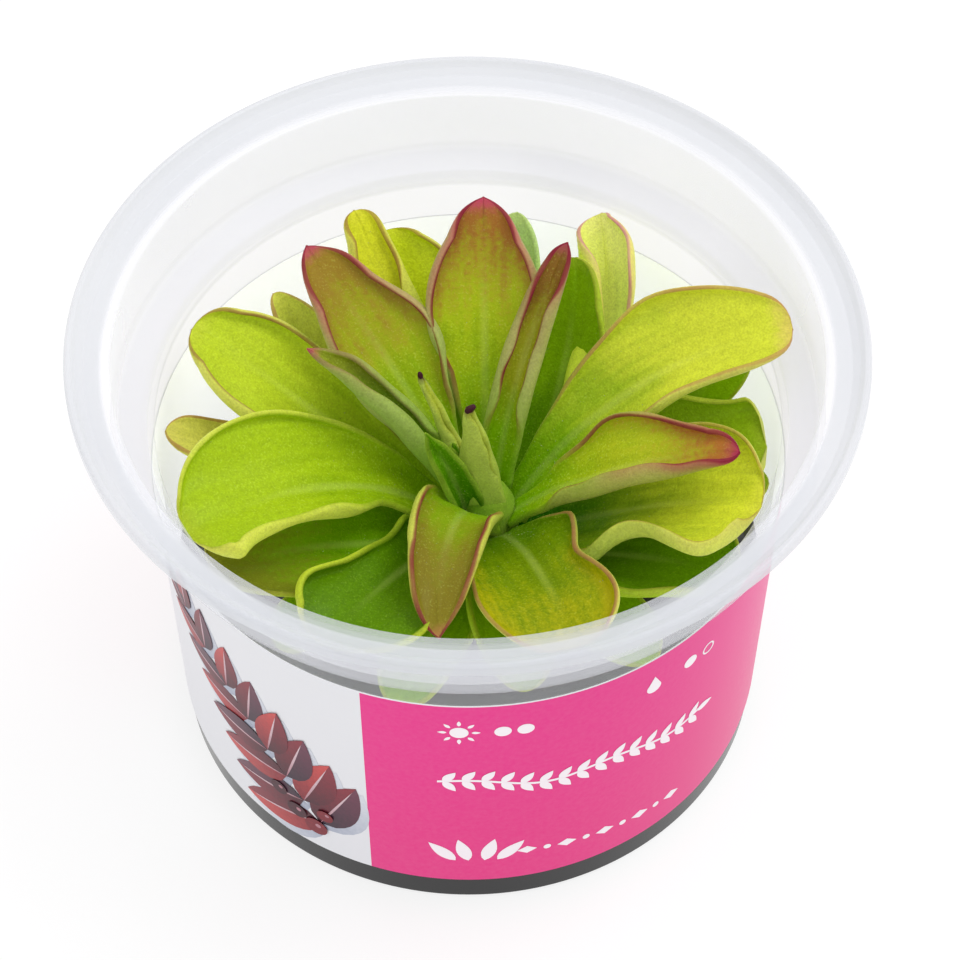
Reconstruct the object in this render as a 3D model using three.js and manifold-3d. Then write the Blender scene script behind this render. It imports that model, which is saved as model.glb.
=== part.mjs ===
// A butterwort rosette growing in a clear plastic cup with a printed wrap.
// Millimetres, +Z up, origin at the centre of the cup's base.
import * as THREE from 'three';
import { mergeVertices } from 'three/addons/utils/BufferGeometryUtils.js';
import Module from 'manifold-3d';

// ---------------------------------------------------------------- driving dimensions

const ROUND_STEPS = 56; // segments round the cup, the wrap and the medium
const FIT_GAP = 0.3; // clearance between touching pieces

const RIM_RADIUS = 50; // outer radius of the cup's raised rim
const RIM_TOP = 68.3; // overall height of the cup
const RIM_THICK = 0.9;
const FLANGE_TOP = 66.5; // flat ring that a lid would sit on
const FLANGE_THICK = 0.9;
const COLLAR_RADIUS = 45.3; // straight collar under the flange, outside
const LEDGE_HEIGHT = 55.5; // where the collar steps in to the tapered wall
const WALL_TOP_RADIUS = 40.85; // tapered wall, outside, just under the ledge
const BASE_RADIUS = 39.4; // tapered wall, outside, at the base
const WALL = 0.9; // wall thickness of the cup
const FLOOR = 1.2; // thickness of the cup's floor
const FOOT_BEVEL = 0.9; // chamfer round the base

const LABEL_BOTTOM = 4.7;
const LABEL_TOP = 46.9;
const LABEL_GAP = 0.25;
const LABEL_THICK = 0.25;

const MEDIUM_TOP = 24; // growing medium surface
const MEDIUM_CLIMB = 0.8; // how far the medium climbs the wall
const MEDIUM_CLIMB_WIDTH = 1.4;
const HOLE_RADIUS = 4; // hole in the medium for the rootstock
const HOLE_BOTTOM = 12;

const CROWN_X = 2.4; // the plant grows a little off the cup's axis
const CROWN_TOP = 36;
const ROOTSTOCK_RADIUS = 3.6;
const CROWN_STEPS = 16;

const BLADE_ROWS = 9; // steps along a blade
const CENTRE_STEPS = 2; // steps across each half of a blade, up to the rolled margin
const ROLL_STEPS = 2; // steps across the rolled margin
const INTEGRATION_STEPS = 6; // arc steps inside each of those
const ROW_EASE = 1.35; // how much closer the rows stand towards the tip
const KEEL_WIDTH = 1.5; // the fold along the midrib opens over this distance
const THINNING = 0.3; // part of the thickness lost by the tip, and again by the margin
const WAVE_SHIFT = 0.37; // the right margin's waves run behind the left one's by this part of a wave
const TIP_WIDTH = 0.35; // half width left at the very tip
const THINNEST = 0.62;
const ROLL_BEGINS = 0.4; // part of the midrib by which the margins are fully rolled

// What a blade is like unless its own entry says otherwise. Angles are in degrees, lengths in mm.
const PLAIN_LEAF = {
  swerve: 0, // how far the tip bends to the left of the heading
  tilt: 0, // turn of the blade about its midrib at the foot
  twist: 0, // further turn by the tip
  neck: 0.32, // half width at the foot, as a part of the widest
  spread: 1.7, // how late the blade widens from the foot
  widest: 0.6, // where along the midrib the blade is widest
  taper: 2, // how late the width falls off towards the tip
  blunt: 0.5, // 0.5 is a round tip, 1 a pointed one
  keel: 5, // fold along the midrib
  trough: 28, // how far each half curves up by the widest half width
  rollLeft: 70, // extra turn of each margin
  rollRight: 70,
  rollWidth: 2.4, // width of the rolled margin along the surface
  wave: 0, // height of the margin's waves
  waves: 2,
  phase: 0,
  thick: 1.15,
};

// foot and tip are [distance from the crown's axis, height]; pitch is the midrib's slope at each end.
const LEAVES = [
  // inner leaves, steep, with coloured margins
  { name: 'leaf_inner_1', heading: 91, foot: [5.5, 34.3], tip: [25.9, 66], pitch: [56, 54], tilt: -3,
    halfWidth: 8.7, widest: 0.62, neck: 0.28, spread: 3.0, blunt: 0.8, trough: 12, rollLeft: 130,
    rollRight: 130 },
  { name: 'leaf_inner_2', heading: 138, foot: [5.2, 35.6], tip: [31.4, 62], pitch: [56, 41], tilt: -10,
    halfWidth: 7.8, widest: 0.5, neck: 0.28, spread: 2.6, blunt: 0.8, trough: 20, rollLeft: 80,
    rollRight: 140 },
  { name: 'leaf_inner_3', heading: 70, foot: [5.0, 36.4], tip: [22.2, 65.2], pitch: [72, 48],
    swerve: -3, halfWidth: 4.8, widest: 0.45, blunt: 0.9, keel: 32, rollLeft: 100, rollRight: 100 },
  { name: 'leaf_inner_4', heading: 167, foot: [4.8, 37.0], tip: [25.2, 59.2], pitch: [60, 34],
    halfWidth: 4.8, widest: 0.4, neck: 0.28, spread: 2.2, blunt: 0.9, keel: 20, rollLeft: 130,
    rollRight: 130 },
  { name: 'leaf_inner_5', heading: -18, foot: [5.3, 35.8], tip: [33, 58], pitch: [52, 26], tilt: 6,
    halfWidth: 7.8, widest: 0.6, neck: 0.28, blunt: 0.8, rollLeft: 60, rollRight: 150 },
  { name: 'leaf_inner_6', heading: -104, foot: [4.4, 35.8], tip: [31, 48], pitch: [70, -20],
    swerve: 2.5, halfWidth: 7.4, widest: 0.35, neck: 0.5, blunt: 0.9, rollLeft: 130, rollRight: 130 },
  // outer leaves, broad and lime green
  { name: 'leaf_outer_1', heading: 28, foot: [5.8, 33.6], tip: [37.8, 61.4], pitch: [54, 22],
    swerve: -12, tilt: 5, halfWidth: 8.8, widest: 0.62, trough: 24, rollRight: 20 },
  { name: 'leaf_outer_2', heading: 164, foot: [5.6, 30.4], tip: [39.6, 57], pitch: [40, 31], tilt: -8,
    halfWidth: 8.6, widest: 0.72, neck: 0.28, keel: 2, trough: 22, rollLeft: 30 },
  { name: 'leaf_outer_3', heading: 186, foot: [5.7, 33.0], tip: [39.1, 52.4], pitch: [50, 6],
    swerve: 14, tilt: 2, halfWidth: 11, widest: 0.72, spread: 1.8, keel: 8, rollLeft: 125,
    rollRight: 40, rollWidth: 4 },
  { name: 'leaf_outer_4', heading: -21, foot: [5.8, 30.8], tip: [37.2, 53], pitch: [42, 22], tilt: 3,
    halfWidth: 10.5, widest: 0.72, wave: 1.1 },
  { name: 'leaf_outer_5', heading: -71, foot: [5.2, 33.0], tip: [34, 47], pitch: [58, -4], tilt: 6,
    halfWidth: 10.4, widest: 0.6, neck: 0.27, rollRight: 20 },
  { name: 'leaf_outer_6', heading: 237, foot: [5.7, 31.2], tip: [36.6, 45.4], pitch: [50, 0],
    halfWidth: 10.6, widest: 0.7, spread: 2, trough: 22, rollLeft: 40, rollRight: 20 },
  { name: 'leaf_outer_7', heading: 46, foot: [5.5, 31.4], tip: [29, 62.2], pitch: [28, 64], swerve: 9,
    tilt: 10, halfWidth: 9.2, widest: 0.8, neck: 0.3, trough: 12, rollLeft: 150, rollRight: 30,
    rollWidth: 3.2 },
  { name: 'leaf_outer_8', heading: 111, foot: [5.7, 29.4], tip: [32.7, 55.0], pitch: [44, 40],
    tilt: -8, halfWidth: 8.2, widest: 0.66, rollLeft: 30 },
  // second layer of outer leaves
  { name: 'leaf_outer_9', heading: 215, foot: [5.7, 29.3], tip: [38, 42], pitch: [32, 8],
    halfWidth: 10, neck: 0.28, trough: 30 },
  { name: 'leaf_outer_10', heading: 50, foot: [5.7, 29.2], tip: [28, 53.4], pitch: [20, 68], swerve: 5,
    halfWidth: 7.6, trough: 18 },
  { name: 'leaf_outer_11', heading: 120, foot: [6.3, 32.4], tip: [34.0, 60], pitch: [52, 44],
    halfWidth: 6.0, rollRight: 130 },
  { name: 'leaf_outer_12', heading: 0, foot: [5.7, 29.0], tip: [36.8, 48], pitch: [38, 26],
    halfWidth: 8.4, widest: 0.72, neck: 0.28, spread: 2.2 },
  { name: 'leaf_outer_13', heading: -38, foot: [5.7, 27.4], tip: [36, 42], pitch: [33, 10],
    halfWidth: 9.4, widest: 0.64, spread: 2.2 },
  // low leaves
  { name: 'leaf_low_1', heading: -82, foot: [5.7, 29.4], tip: [34, 40], pitch: [38, 6], halfWidth: 6.8,
    neck: 0.28 },
  { name: 'leaf_low_2', heading: 147, foot: [5.7, 27.2], tip: [33.8, 52.0], pitch: [34, 47],
    halfWidth: 4.8, neck: 0.28 },
  { name: 'leaf_low_3', heading: 182, foot: [5.7, 27.3], tip: [41.2, 47], pitch: [30, 34],
    halfWidth: 6.0, neck: 0.28 },
  { name: 'leaf_low_4', heading: 83, foot: [5.6, 26.6], tip: [33.8, 55], pitch: [24, 60],
    halfWidth: 5.2, neck: 0.28 },
  { name: 'leaf_low_5', heading: 26, foot: [6, 26.6], tip: [36, 49], pitch: [24, 42], halfWidth: 5.6,
    neck: 0.28 },
  { name: 'leaf_low_6', heading: -7, foot: [5.7, 25.4], tip: [36.6, 44.5], pitch: [24, 32],
    halfWidth: 6.4, neck: 0.28 },
  { name: 'leaf_low_7', heading: -52, foot: [5.7, 25.8], tip: [34, 36], pitch: [26, 8], halfWidth: 7.0,
    neck: 0.28 },
  { name: 'leaf_low_8', heading: -108, foot: [5.9, 27.6], tip: [36, 37], pitch: [30, 4], tilt: -3,
    halfWidth: 6.8, neck: 0.28 },
  { name: 'leaf_low_9', heading: 222, foot: [6.2, 25.2], tip: [36, 36], pitch: [24, 8], halfWidth: 7.2,
    neck: 0.28 },
];

// The young leaves of the heart, rolled nearly shut. They are grown onto the crown.
const YOUNG_LEAVES = [
  { heading: 200, foot: [0.2, 33], tip: [2.6, 55.5], pitch: [80, 86], halfWidth: 6.6 },
  { heading: 196, foot: [2.0, 33], tip: [8.6, 47], pitch: [74, 60], halfWidth: 4.4 },
  { heading: 144, foot: [2.0, 33], tip: [10.4, 53], pitch: [78, 60], halfWidth: 3.4 },
  { heading: 168, foot: [1.4, 33], tip: [4.6, 47], pitch: [80, 74], halfWidth: 2.8 },
].map((leaf) => ({
  ...leaf, widest: 0.12, neck: 0.9, taper: 1.3, blunt: 0.8,
  keel: 20, trough: 125, rollLeft: 20, rollRight: 20, thick: 1.2,
}));

const FINISHES = {
  cup: { color: 0xdfe4ea, roughness: 0.3, metalness: 0, transparent: true, opacity: 0.4 },
  label: { color: 0xe8499a, roughness: 0.45, metalness: 0 },
  growing_medium: { color: 0x2e2c2f, roughness: 0.5, metalness: 0 },
  crown: { color: 0x8fa83a, roughness: 0.5, metalness: 0 },
  leaf_inner: { color: 0x93a53c, roughness: 0.45, metalness: 0 },
  leaf_outer: { color: 0xa8c82a, roughness: 0.45, metalness: 0 },
  leaf_low: { color: 0x6f9a22, roughness: 0.5, metalness: 0 },
};

// ---------------------------------------------------------------- the cup and what fills it

/** Outer radius of the tapered wall at height z. */
function wallRadius(z) {
  return BASE_RADIUS + (WALL_TOP_RADIUS - BASE_RADIUS) * (z / LEDGE_HEIGHT);
}

/** A closed ring or a solid of revolution from [radius, height] points. */
function turned(profile, steps = ROUND_STEPS) {
  return new THREE.LatheGeometry(profile.map(([r, z]) => new THREE.Vector2(r, z)), steps)
    .rotateX(Math.PI / 2);
}

function cupGeometry() {
  const rimInner = RIM_RADIUS - RIM_THICK;
  const flangeUnder = FLANGE_TOP - FLANGE_THICK;
  const collarInner = COLLAR_RADIUS - WALL;
  const outside = [
    [0, 0],
    [BASE_RADIUS - FOOT_BEVEL, 0],
    [wallRadius(FOOT_BEVEL), FOOT_BEVEL],
    [wallRadius(LEDGE_HEIGHT - 1.6), LEDGE_HEIGHT - 1.6],
    [WALL_TOP_RADIUS + 0.8, LEDGE_HEIGHT - 0.7],
    [COLLAR_RADIUS - 0.6, LEDGE_HEIGHT],
    [COLLAR_RADIUS, LEDGE_HEIGHT + 0.6],
    [COLLAR_RADIUS, flangeUnder - 0.5],
    [COLLAR_RADIUS + 0.6, flangeUnder],
    [RIM_RADIUS - 1, flangeUnder],
    [RIM_RADIUS, flangeUnder + FLANGE_THICK],
    [RIM_RADIUS, RIM_TOP - 0.4],
    [RIM_RADIUS - 0.4, RIM_TOP],
    [rimInner, RIM_TOP - 0.2],
    [rimInner - 0.5, RIM_TOP - 1],
    [rimInner - 1.4, FLANGE_TOP],
  ];
  const inside = [
    [collarInner + 0.4, FLANGE_TOP],
    [collarInner, FLANGE_TOP - 0.4],
    [collarInner, LEDGE_HEIGHT + WALL + 0.3],
    [collarInner - 0.6, LEDGE_HEIGHT + WALL - 0.2],
    [WALL_TOP_RADIUS - 0.1, LEDGE_HEIGHT + 0.2],
    [wallRadius(LEDGE_HEIGHT - 1) - WALL, LEDGE_HEIGHT - 1],
    [wallRadius(FLOOR + 1) - WALL, FLOOR + 1],
    [BASE_RADIUS - WALL - 1, FLOOR],
    [0, FLOOR],
  ];
  return turned([...outside, ...inside]);
}

function labelGeometry() {
  const off = LABEL_GAP + LABEL_THICK;
  return turned([
    [wallRadius(LABEL_BOTTOM) + LABEL_GAP, LABEL_BOTTOM],
    [wallRadius(LABEL_BOTTOM) + off, LABEL_BOTTOM],
    [wallRadius(LABEL_TOP) + off, LABEL_TOP],
    [wallRadius(LABEL_TOP) + LABEL_GAP, LABEL_TOP],
    [wallRadius(LABEL_BOTTOM) + LABEL_GAP, LABEL_BOTTOM],
  ]);
}

/** The medium fills the bottom of the cup, climbs the wall a little and has a hole for the rootstock. */
function mediumGeometry() {
  const bottom = FLOOR + FIT_GAP;
  const clear = WALL + FIT_GAP;
  const body = turned([
    [0, bottom],
    [BASE_RADIUS - clear - 1, bottom],
    [wallRadius(bottom + 1) - clear, bottom + 1],
    [wallRadius(MEDIUM_TOP + MEDIUM_CLIMB) - clear, MEDIUM_TOP + MEDIUM_CLIMB],
    [wallRadius(MEDIUM_TOP) - clear - MEDIUM_CLIMB_WIDTH, MEDIUM_TOP],
    [0, MEDIUM_TOP],
  ]);
  const drill = turned([
    [0, HOLE_BOTTOM],
    [HOLE_RADIUS, HOLE_BOTTOM],
    [HOLE_RADIUS, MEDIUM_TOP + 5],
    [0, MEDIUM_TOP + 5],
  ], CROWN_STEPS).translate(CROWN_X, 0, 0);
  return geometryOf(solidOf(body).subtract(solidOf(drill)));
}

// ---------------------------------------------------------------- blades

const radians = THREE.MathUtils.degToRad;

/** The midrib is a cubic curve in the upright plane of the leaf's heading, bent sideways by swerve. */
function midribPoint(leaf, t) {
  const [footReach, footHeight] = leaf.foot;
  const [tipReach, tipHeight] = leaf.tip;
  const [footPitch, tipPitch] = leaf.pitch.map(radians);
  const arm = Math.hypot(tipReach - footReach, tipHeight - footHeight) / 3;
  const reach = [footReach, footReach + arm * Math.cos(footPitch),
    tipReach - arm * Math.cos(tipPitch), tipReach];
  const height = [footHeight, footHeight + arm * Math.sin(footPitch),
    tipHeight - arm * Math.sin(tipPitch), tipHeight];
  const u = 1 - t;
  const weights = [u * u * u, 3 * u * u * t, 3 * u * t * t, t * t * t];
  const blend = (values) => values.reduce((sum, value, i) => sum + value * weights[i], 0);
  const along = blend(reach);
  const left = leaf.swerve * t * t;
  const heading = radians(leaf.heading);
  return new THREE.Vector3(
    CROWN_X + along * Math.cos(heading) - left * Math.sin(heading),
    along * Math.sin(heading) + left * Math.cos(heading),
    blend(height),
  );
}

function halfWidth(leaf, t) {
  if (t < leaf.widest) {
    const rise = Math.sin((t / leaf.widest) * Math.PI / 2);
    return leaf.halfWidth * (leaf.neck + (1 - leaf.neck) * rise ** leaf.spread);
  }
  const fall = ((t - leaf.widest) / (1 - leaf.widest)) ** leaf.taper;
  return Math.max(TIP_WIDTH, leaf.halfWidth * Math.max(0, 1 - fall) ** leaf.blunt);
}

/** Top and bottom points across the blade at t, from the right margin to the left one. */
function crossSection(leaf, t) {
  const step = 1e-3;
  const tangent = midribPoint(leaf, Math.min(1, t + step))
    .sub(midribPoint(leaf, Math.max(0, t - step))).normalize();
  const heading = radians(leaf.heading);
  const flat = new THREE.Vector3(-Math.sin(heading), Math.cos(heading), 0);
  const side = flat.addScaledVector(tangent, -flat.dot(tangent)).normalize();
  side.applyAxisAngle(tangent, radians(leaf.tilt + leaf.twist * t));
  const up = new THREE.Vector3().crossVectors(tangent, side);
  const centre = midribPoint(leaf, t);

  const width = halfWidth(leaf, t);
  const rollWidth = Math.min(leaf.rollWidth, 0.4 * width);
  const bend = radians(leaf.trough) / leaf.halfWidth; // per mm of arc
  const rollShare = THREE.MathUtils.smoothstep(t, 0, ROLL_BEGINS); // margins lie flat at the foot
  const half = (sign, roll, wavePhase) => {
    const curl = rollShare * radians(roll) / leaf.rollWidth;
    const flatWidth = width - rollWidth;
    const places = [];
    for (let i = 1; i <= CENTRE_STEPS; i++) places.push(flatWidth * i / CENTRE_STEPS);
    for (let i = 1; i <= ROLL_STEPS; i++) places.push(flatWidth + rollWidth * i / ROLL_STEPS);
    const angleAt = (q) => radians(leaf.keel) * Math.min(1, q / KEEL_WIDTH) + bend * q
      + curl * Math.max(0, q - flatWidth);
    const points = [];
    let across = 0;
    let lift = 0;
    let from = 0;
    for (const place of places) {
      const piece = (place - from) / INTEGRATION_STEPS;
      for (let k = 0; k < INTEGRATION_STEPS; k++) {
        const angle = angleAt(from + (k + 0.5) * piece);
        across += Math.cos(angle) * piece;
        lift += Math.sin(angle) * piece;
      }
      from = place;
      const share = place / leaf.halfWidth;
      const ripple = leaf.wave * share * share * Math.sin(2 * Math.PI * (leaf.waves * t + wavePhase));
      points.push({ across: sign * across, lift: lift + ripple, angle: sign * angleAt(place), share });
    }
    return points;
  };
  const left = half(1, leaf.rollLeft, leaf.phase);
  const right = half(-1, leaf.rollRight, leaf.phase + WAVE_SHIFT).reverse();
  const line = [...right, { across: 0, lift: 0, angle: 0, share: 0 }, ...left];
  const faces = (towards) => line.map(({ across, lift, angle, share }) => {
    const full = leaf.thick * (1 - THINNING * t) * (1 - THINNING * share * share);
    const thick = Math.max(THINNEST, full);
    return centre.clone()
      .addScaledVector(side, across - towards * Math.sin(angle) * thick / 2)
      .addScaledVector(up, lift + towards * Math.cos(angle) * thick / 2);
  });
  return { top: faces(1), bottom: faces(-1) };
}

/** A blade as one closed solid: both faces are the same grid, split into triangles alike. */
function bladeGeometry(entry) {
  const leaf = { ...PLAIN_LEAF, ...entry };
  const sections = [];
  for (let i = 0; i <= BLADE_ROWS; i++) {
    sections.push(crossSection(leaf, 1 - (1 - i / BLADE_ROWS) ** ROW_EASE));
  }
  const across = sections[0].top.length;
  const positions = [];
  for (const face of ['top', 'bottom']) {
    for (const section of sections) section[face].forEach((p) => positions.push(p.x, p.y, p.z));
  }
  const sheet = (BLADE_ROWS + 1) * across;
  const index = [];
  const quad = (a, b, c, d) => index.push(a, b, c, a, c, d);
  for (let i = 0; i < BLADE_ROWS; i++) {
    for (let j = 0; j < across - 1; j++) {
      const a = i * across + j;
      quad(a, a + across, a + across + 1, a + 1);
      index.push(sheet + a, sheet + a + across + 1, sheet + a + across);
      index.push(sheet + a, sheet + a + 1, sheet + a + across + 1);
    }
    const rightEdge = i * across;
    const leftEdge = rightEdge + across - 1;
    quad(rightEdge, sheet + rightEdge, sheet + rightEdge + across, rightEdge + across);
    quad(leftEdge, leftEdge + across, sheet + leftEdge + across, sheet + leftEdge);
  }
  const last = BLADE_ROWS * across;
  for (let j = 0; j < across - 1; j++) {
    quad(j, j + 1, sheet + j + 1, sheet + j);
    quad(last + j, sheet + last + j, sheet + last + j + 1, last + j + 1);
  }
  const geometry = new THREE.BufferGeometry();
  geometry.setAttribute('position', new THREE.Float32BufferAttribute(positions, 3));
  geometry.setIndex(index);
  return geometry;
}

/** The rootstock with the young leaves of the heart joined on. */
function crownGeometry() {
  const stock = turned([
    [0, HOLE_BOTTOM + FIT_GAP],
    [ROOTSTOCK_RADIUS, HOLE_BOTTOM + FIT_GAP],
    [ROOTSTOCK_RADIUS, MEDIUM_TOP + 1],
    [4.4, MEDIUM_TOP + 3],
    [4.2, CROWN_TOP - 5],
    [3.4, CROWN_TOP - 1.5],
    [2.4, CROWN_TOP + 0.4],
    [1.8, CROWN_TOP + 2],
    [0, CROWN_TOP + 2.6],
  ], CROWN_STEPS).translate(CROWN_X, 0, 0);
  return geometryOf(YOUNG_LEAVES.reduce(
    (crown, leaf) => crown.add(solidOf(bladeGeometry(leaf))),
    solidOf(stock),
  ));
}

// ---------------------------------------------------------------- solids for joining and cutting

const wasm = await Module();
wasm.setup();

function solidOf(geometry) {
  const bare = geometry.clone();
  bare.deleteAttribute('normal');
  bare.deleteAttribute('uv');
  const merged = mergeVertices(bare, 1e-4);
  return new wasm.Manifold(new wasm.Mesh({
    numProp: 3,
    vertProperties: new Float32Array(merged.attributes.position.array),
    triVerts: new Uint32Array(merged.index.array),
  }));
}

function geometryOf(solid) {
  const mesh = solid.getMesh();
  const geometry = new THREE.BufferGeometry();
  geometry.setAttribute('position', new THREE.BufferAttribute(mesh.vertProperties, 3));
  geometry.setIndex(new THREE.BufferAttribute(mesh.triVerts, 1));
  return geometry;
}

// ---------------------------------------------------------------- the plant in its cup

function piece(name, geometry, finish) {
  const mesh = new THREE.Mesh(geometry, new THREE.MeshStandardMaterial(FINISHES[finish]));
  mesh.name = name;
  return mesh;
}

const butterwort = new THREE.Group();
butterwort.name = 'butterwort_in_cup';
butterwort.add(piece('cup', cupGeometry(), 'cup'));
butterwort.add(piece('label', labelGeometry(), 'label'));
butterwort.add(piece('growing_medium', mediumGeometry(), 'growing_medium'));

const plant = new THREE.Group();
plant.name = 'plant';
plant.add(piece('crown', crownGeometry(), 'crown'));
for (const leaf of LEAVES) {
  plant.add(piece(leaf.name, bladeGeometry(leaf), leaf.name.replace(/_\d+$/, '')));
}
butterwort.add(plant);

export default butterwort;
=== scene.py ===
# %% [markdown]
# # A butterwort in a clear cup
# A butterwort is a small carnivorous plant: a rosette of fleshy leaves with rolled margins, whose faces
# are covered with fine sticky glands. This one grows in dark gel, in a thin plastic cup with a wide flange
# and a printed wrap. The model of its sizes is packed already. It is loaded first and stays as it is, and
# every piece made here lies where the packed one lies.

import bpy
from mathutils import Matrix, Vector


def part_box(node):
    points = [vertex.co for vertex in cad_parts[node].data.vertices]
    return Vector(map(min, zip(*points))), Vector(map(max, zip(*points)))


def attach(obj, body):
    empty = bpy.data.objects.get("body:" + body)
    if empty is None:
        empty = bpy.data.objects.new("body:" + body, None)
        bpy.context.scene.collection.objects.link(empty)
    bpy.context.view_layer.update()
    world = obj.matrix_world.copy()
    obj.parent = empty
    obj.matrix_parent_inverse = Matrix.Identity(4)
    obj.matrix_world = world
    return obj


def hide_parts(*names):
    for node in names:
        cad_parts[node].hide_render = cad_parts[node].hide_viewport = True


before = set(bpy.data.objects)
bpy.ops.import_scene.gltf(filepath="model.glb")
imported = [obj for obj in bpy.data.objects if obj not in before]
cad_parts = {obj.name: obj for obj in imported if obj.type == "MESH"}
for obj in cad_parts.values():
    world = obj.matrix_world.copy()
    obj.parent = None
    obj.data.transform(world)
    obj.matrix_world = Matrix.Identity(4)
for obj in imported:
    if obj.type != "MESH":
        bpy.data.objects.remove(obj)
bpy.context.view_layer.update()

import math
from collections import namedtuple

import bmesh
import bpy
import numpy as np
from mathutils import Matrix, Vector

MM = 0.001

# %% [markdown]
# ## Camera, floor and light
# The plant is looked at from above, from about an arm's length. A long lens keeps the round rim from
# stretching. The light is that of a product table: a pale surround and large soft lamps, so that shadows
# stay faint and the plastic shows by its soft reflections.

# %% Camera
CAMERA_PLACE = Vector((1.51, -251.9, 356.8)) * MM
CAMERA_TARGET = Vector((1.51, 0, 39.61)) * MM
CAMERA_LENS = 115.9
NEAREST_SEEN = 20 * MM

scene = bpy.context.scene
camera = bpy.data.objects.new("camera", bpy.data.cameras.new("camera"))
scene.collection.objects.link(camera)
camera.data.lens = CAMERA_LENS
camera.location = CAMERA_PLACE
camera.rotation_euler = (CAMERA_TARGET - CAMERA_PLACE).to_track_quat("-Z", "Y").to_euler()
camera.data.clip_start = NEAREST_SEEN
scene.camera = camera
scene.view_settings.view_transform = "Standard"
print("camera distance in mm:", round((CAMERA_TARGET - CAMERA_PLACE).length / MM, 1))


# %% Soft lamps and a pale surround
def softbox(name, place, width, power, target=(0, 0, 0.04)):
    """A square lamp that faces the target. Places and width are metres, power is watts."""
    lamp = bpy.data.objects.new(name, bpy.data.lights.new(name, "AREA"))
    scene.collection.objects.link(lamp)
    lamp.data.size = width
    lamp.data.energy = power
    lamp.location = place
    lamp.rotation_euler = (Vector(target) - Vector(place)).to_track_quat("-Z", "Y").to_euler()
    return lamp


softbox("lamp_above", place=(0.4, 0.15, 0.92), width=0.5, power=3.9)
softbox("lamp_front", place=(-0.5, -0.75, 0.6), width=0.4, power=0.7)
PURE_WHITE = (1, 1, 1, 1)
SURROUND_STRENGTH = 0.76
world = bpy.data.worlds.new("surround")
world.use_nodes = True
background = world.node_tree.nodes["Background"]
background.inputs["Color"].default_value = PURE_WHITE
background.inputs["Strength"].default_value = SURROUND_STRENGTH
scene.world = world

# %% [markdown]
# ## Short calls for node trees
# Every finish below is a small tree of shader nodes. A few short calls keep them readable: each takes
# values, colours or sockets and gives back an output socket. An effect is built once, as a group, and each
# material places it with values of its own.


# %% Helpers for node trees
def srgb(colour):
    """A colour of three values from 0 to 255 as the linear values that a node takes."""
    shares = [value / 255 for value in colour]
    return tuple(s / 12.92 if s <= 0.04045 else ((s + 0.055) / 1.055) ** 2.4 for s in shares) + (1,)


class Graph:
    """A node tree that is built by short calls."""

    def __init__(self, tree):
        self.tree = tree

    def add(self, kind, inputs=None, **settings):
        made = self.tree.nodes.new(kind)
        for key, value in settings.items():
            setattr(made, key, value)
        for key, value in (inputs or {}).items():
            self.put(made.inputs[key], value)
        return made

    def put(self, socket, value):
        if isinstance(value, bpy.types.NodeSocket):
            self.tree.links.new(value, socket)
        else:
            socket.default_value = value

    def math(self, operation, a, b=0.0, clamp=False):
        return self.add("ShaderNodeMath", {0: a, 1: b}, operation=operation, use_clamp=clamp).outputs[0]

    def times(self, *values):
        product = values[0]
        for value in values[1:]:
            product = self.math("MULTIPLY", product, value)
        return product

    def plus(self, *values, clamp=False):
        total = values[0]
        for value in values[1:]:
            total = self.math("ADD", total, value, clamp)
        return total

    def fade(self, value, low, high):
        """0 below low and 1 above high, with a smooth step between."""
        step = self.add("ShaderNodeMapRange", {0: value, 1: low, 2: high}, interpolation_type="SMOOTHSTEP")
        return step.outputs[0]

    def less(self, value):
        """What is left of 1 when the value is taken away."""
        return self.math("SUBTRACT", 1.0, value)

    def mix(self, share, a, b):
        """Colour a, with that share of colour b in its place."""
        return self.add("ShaderNodeMix", {0: share, 6: a, 7: b}, data_type="RGBA").outputs[2]

    def mix_values(self, share, a, b):
        return self.add("ShaderNodeMix", {0: share, 2: a, 3: b}).outputs[0]

    def brightened(self, colour, value):
        return self.add("ShaderNodeHueSaturation", {"Value": value, "Color": colour}).outputs[0]

    def split(self, vector):
        return self.add("ShaderNodeSeparateXYZ", {0: vector}).outputs

    def around(self, radius, angle, height):
        """The place at that radius and angle round the upright axis."""
        x, y = (self.times(radius, self.math(way, angle)) for way in ("COSINE", "SINE"))
        return self.add("ShaderNodeCombineXYZ", {"X": x, "Y": y, "Z": height}).outputs[0]

    def noise(self, place, scale, detail=2.0):
        made = self.add("ShaderNodeTexNoise", {"Vector": place, "Scale": scale, "Detail": detail})
        return made.outputs["Fac"]

    def cells(self, place, scale):
        return self.add("ShaderNodeTexVoronoi", {"Vector": place, "Scale": scale}).outputs["Distance"]

    def swing(self, noise, amount):
        """Noise about 0.5 turned into a swing about 0."""
        return self.times(self.math("SUBTRACT", noise, 0.5), amount)


print("short calls:", [name for name in vars(Graph) if name[0] != "_"])

# %% Helpers for groups and materials
KINDS = {"value": "NodeSocketFloat", "colour": "NodeSocketColor", "vector": "NodeSocketVector",
         "geometry": "NodeSocketGeometry", "count": "NodeSocketInt", "material": "NodeSocketMaterial"}
SURFACE = {"Color": "colour", "Roughness": "value", "Height": "value"}


def new_tree(name, tree_kind, inputs, outputs):
    """An empty tree with those sockets, its graph, its input sockets and its output node."""
    tree = bpy.data.node_groups.new(name, tree_kind)
    for in_out, sockets in (("INPUT", inputs), ("OUTPUT", outputs)):
        for socket_name, kind in sockets.items():
            tree.interface.new_socket(socket_name, in_out=in_out, socket_type=KINDS[kind])
    graph = Graph(tree)
    return tree, graph, graph.add("NodeGroupInput").outputs, graph.add("NodeGroupOutput")


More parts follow.
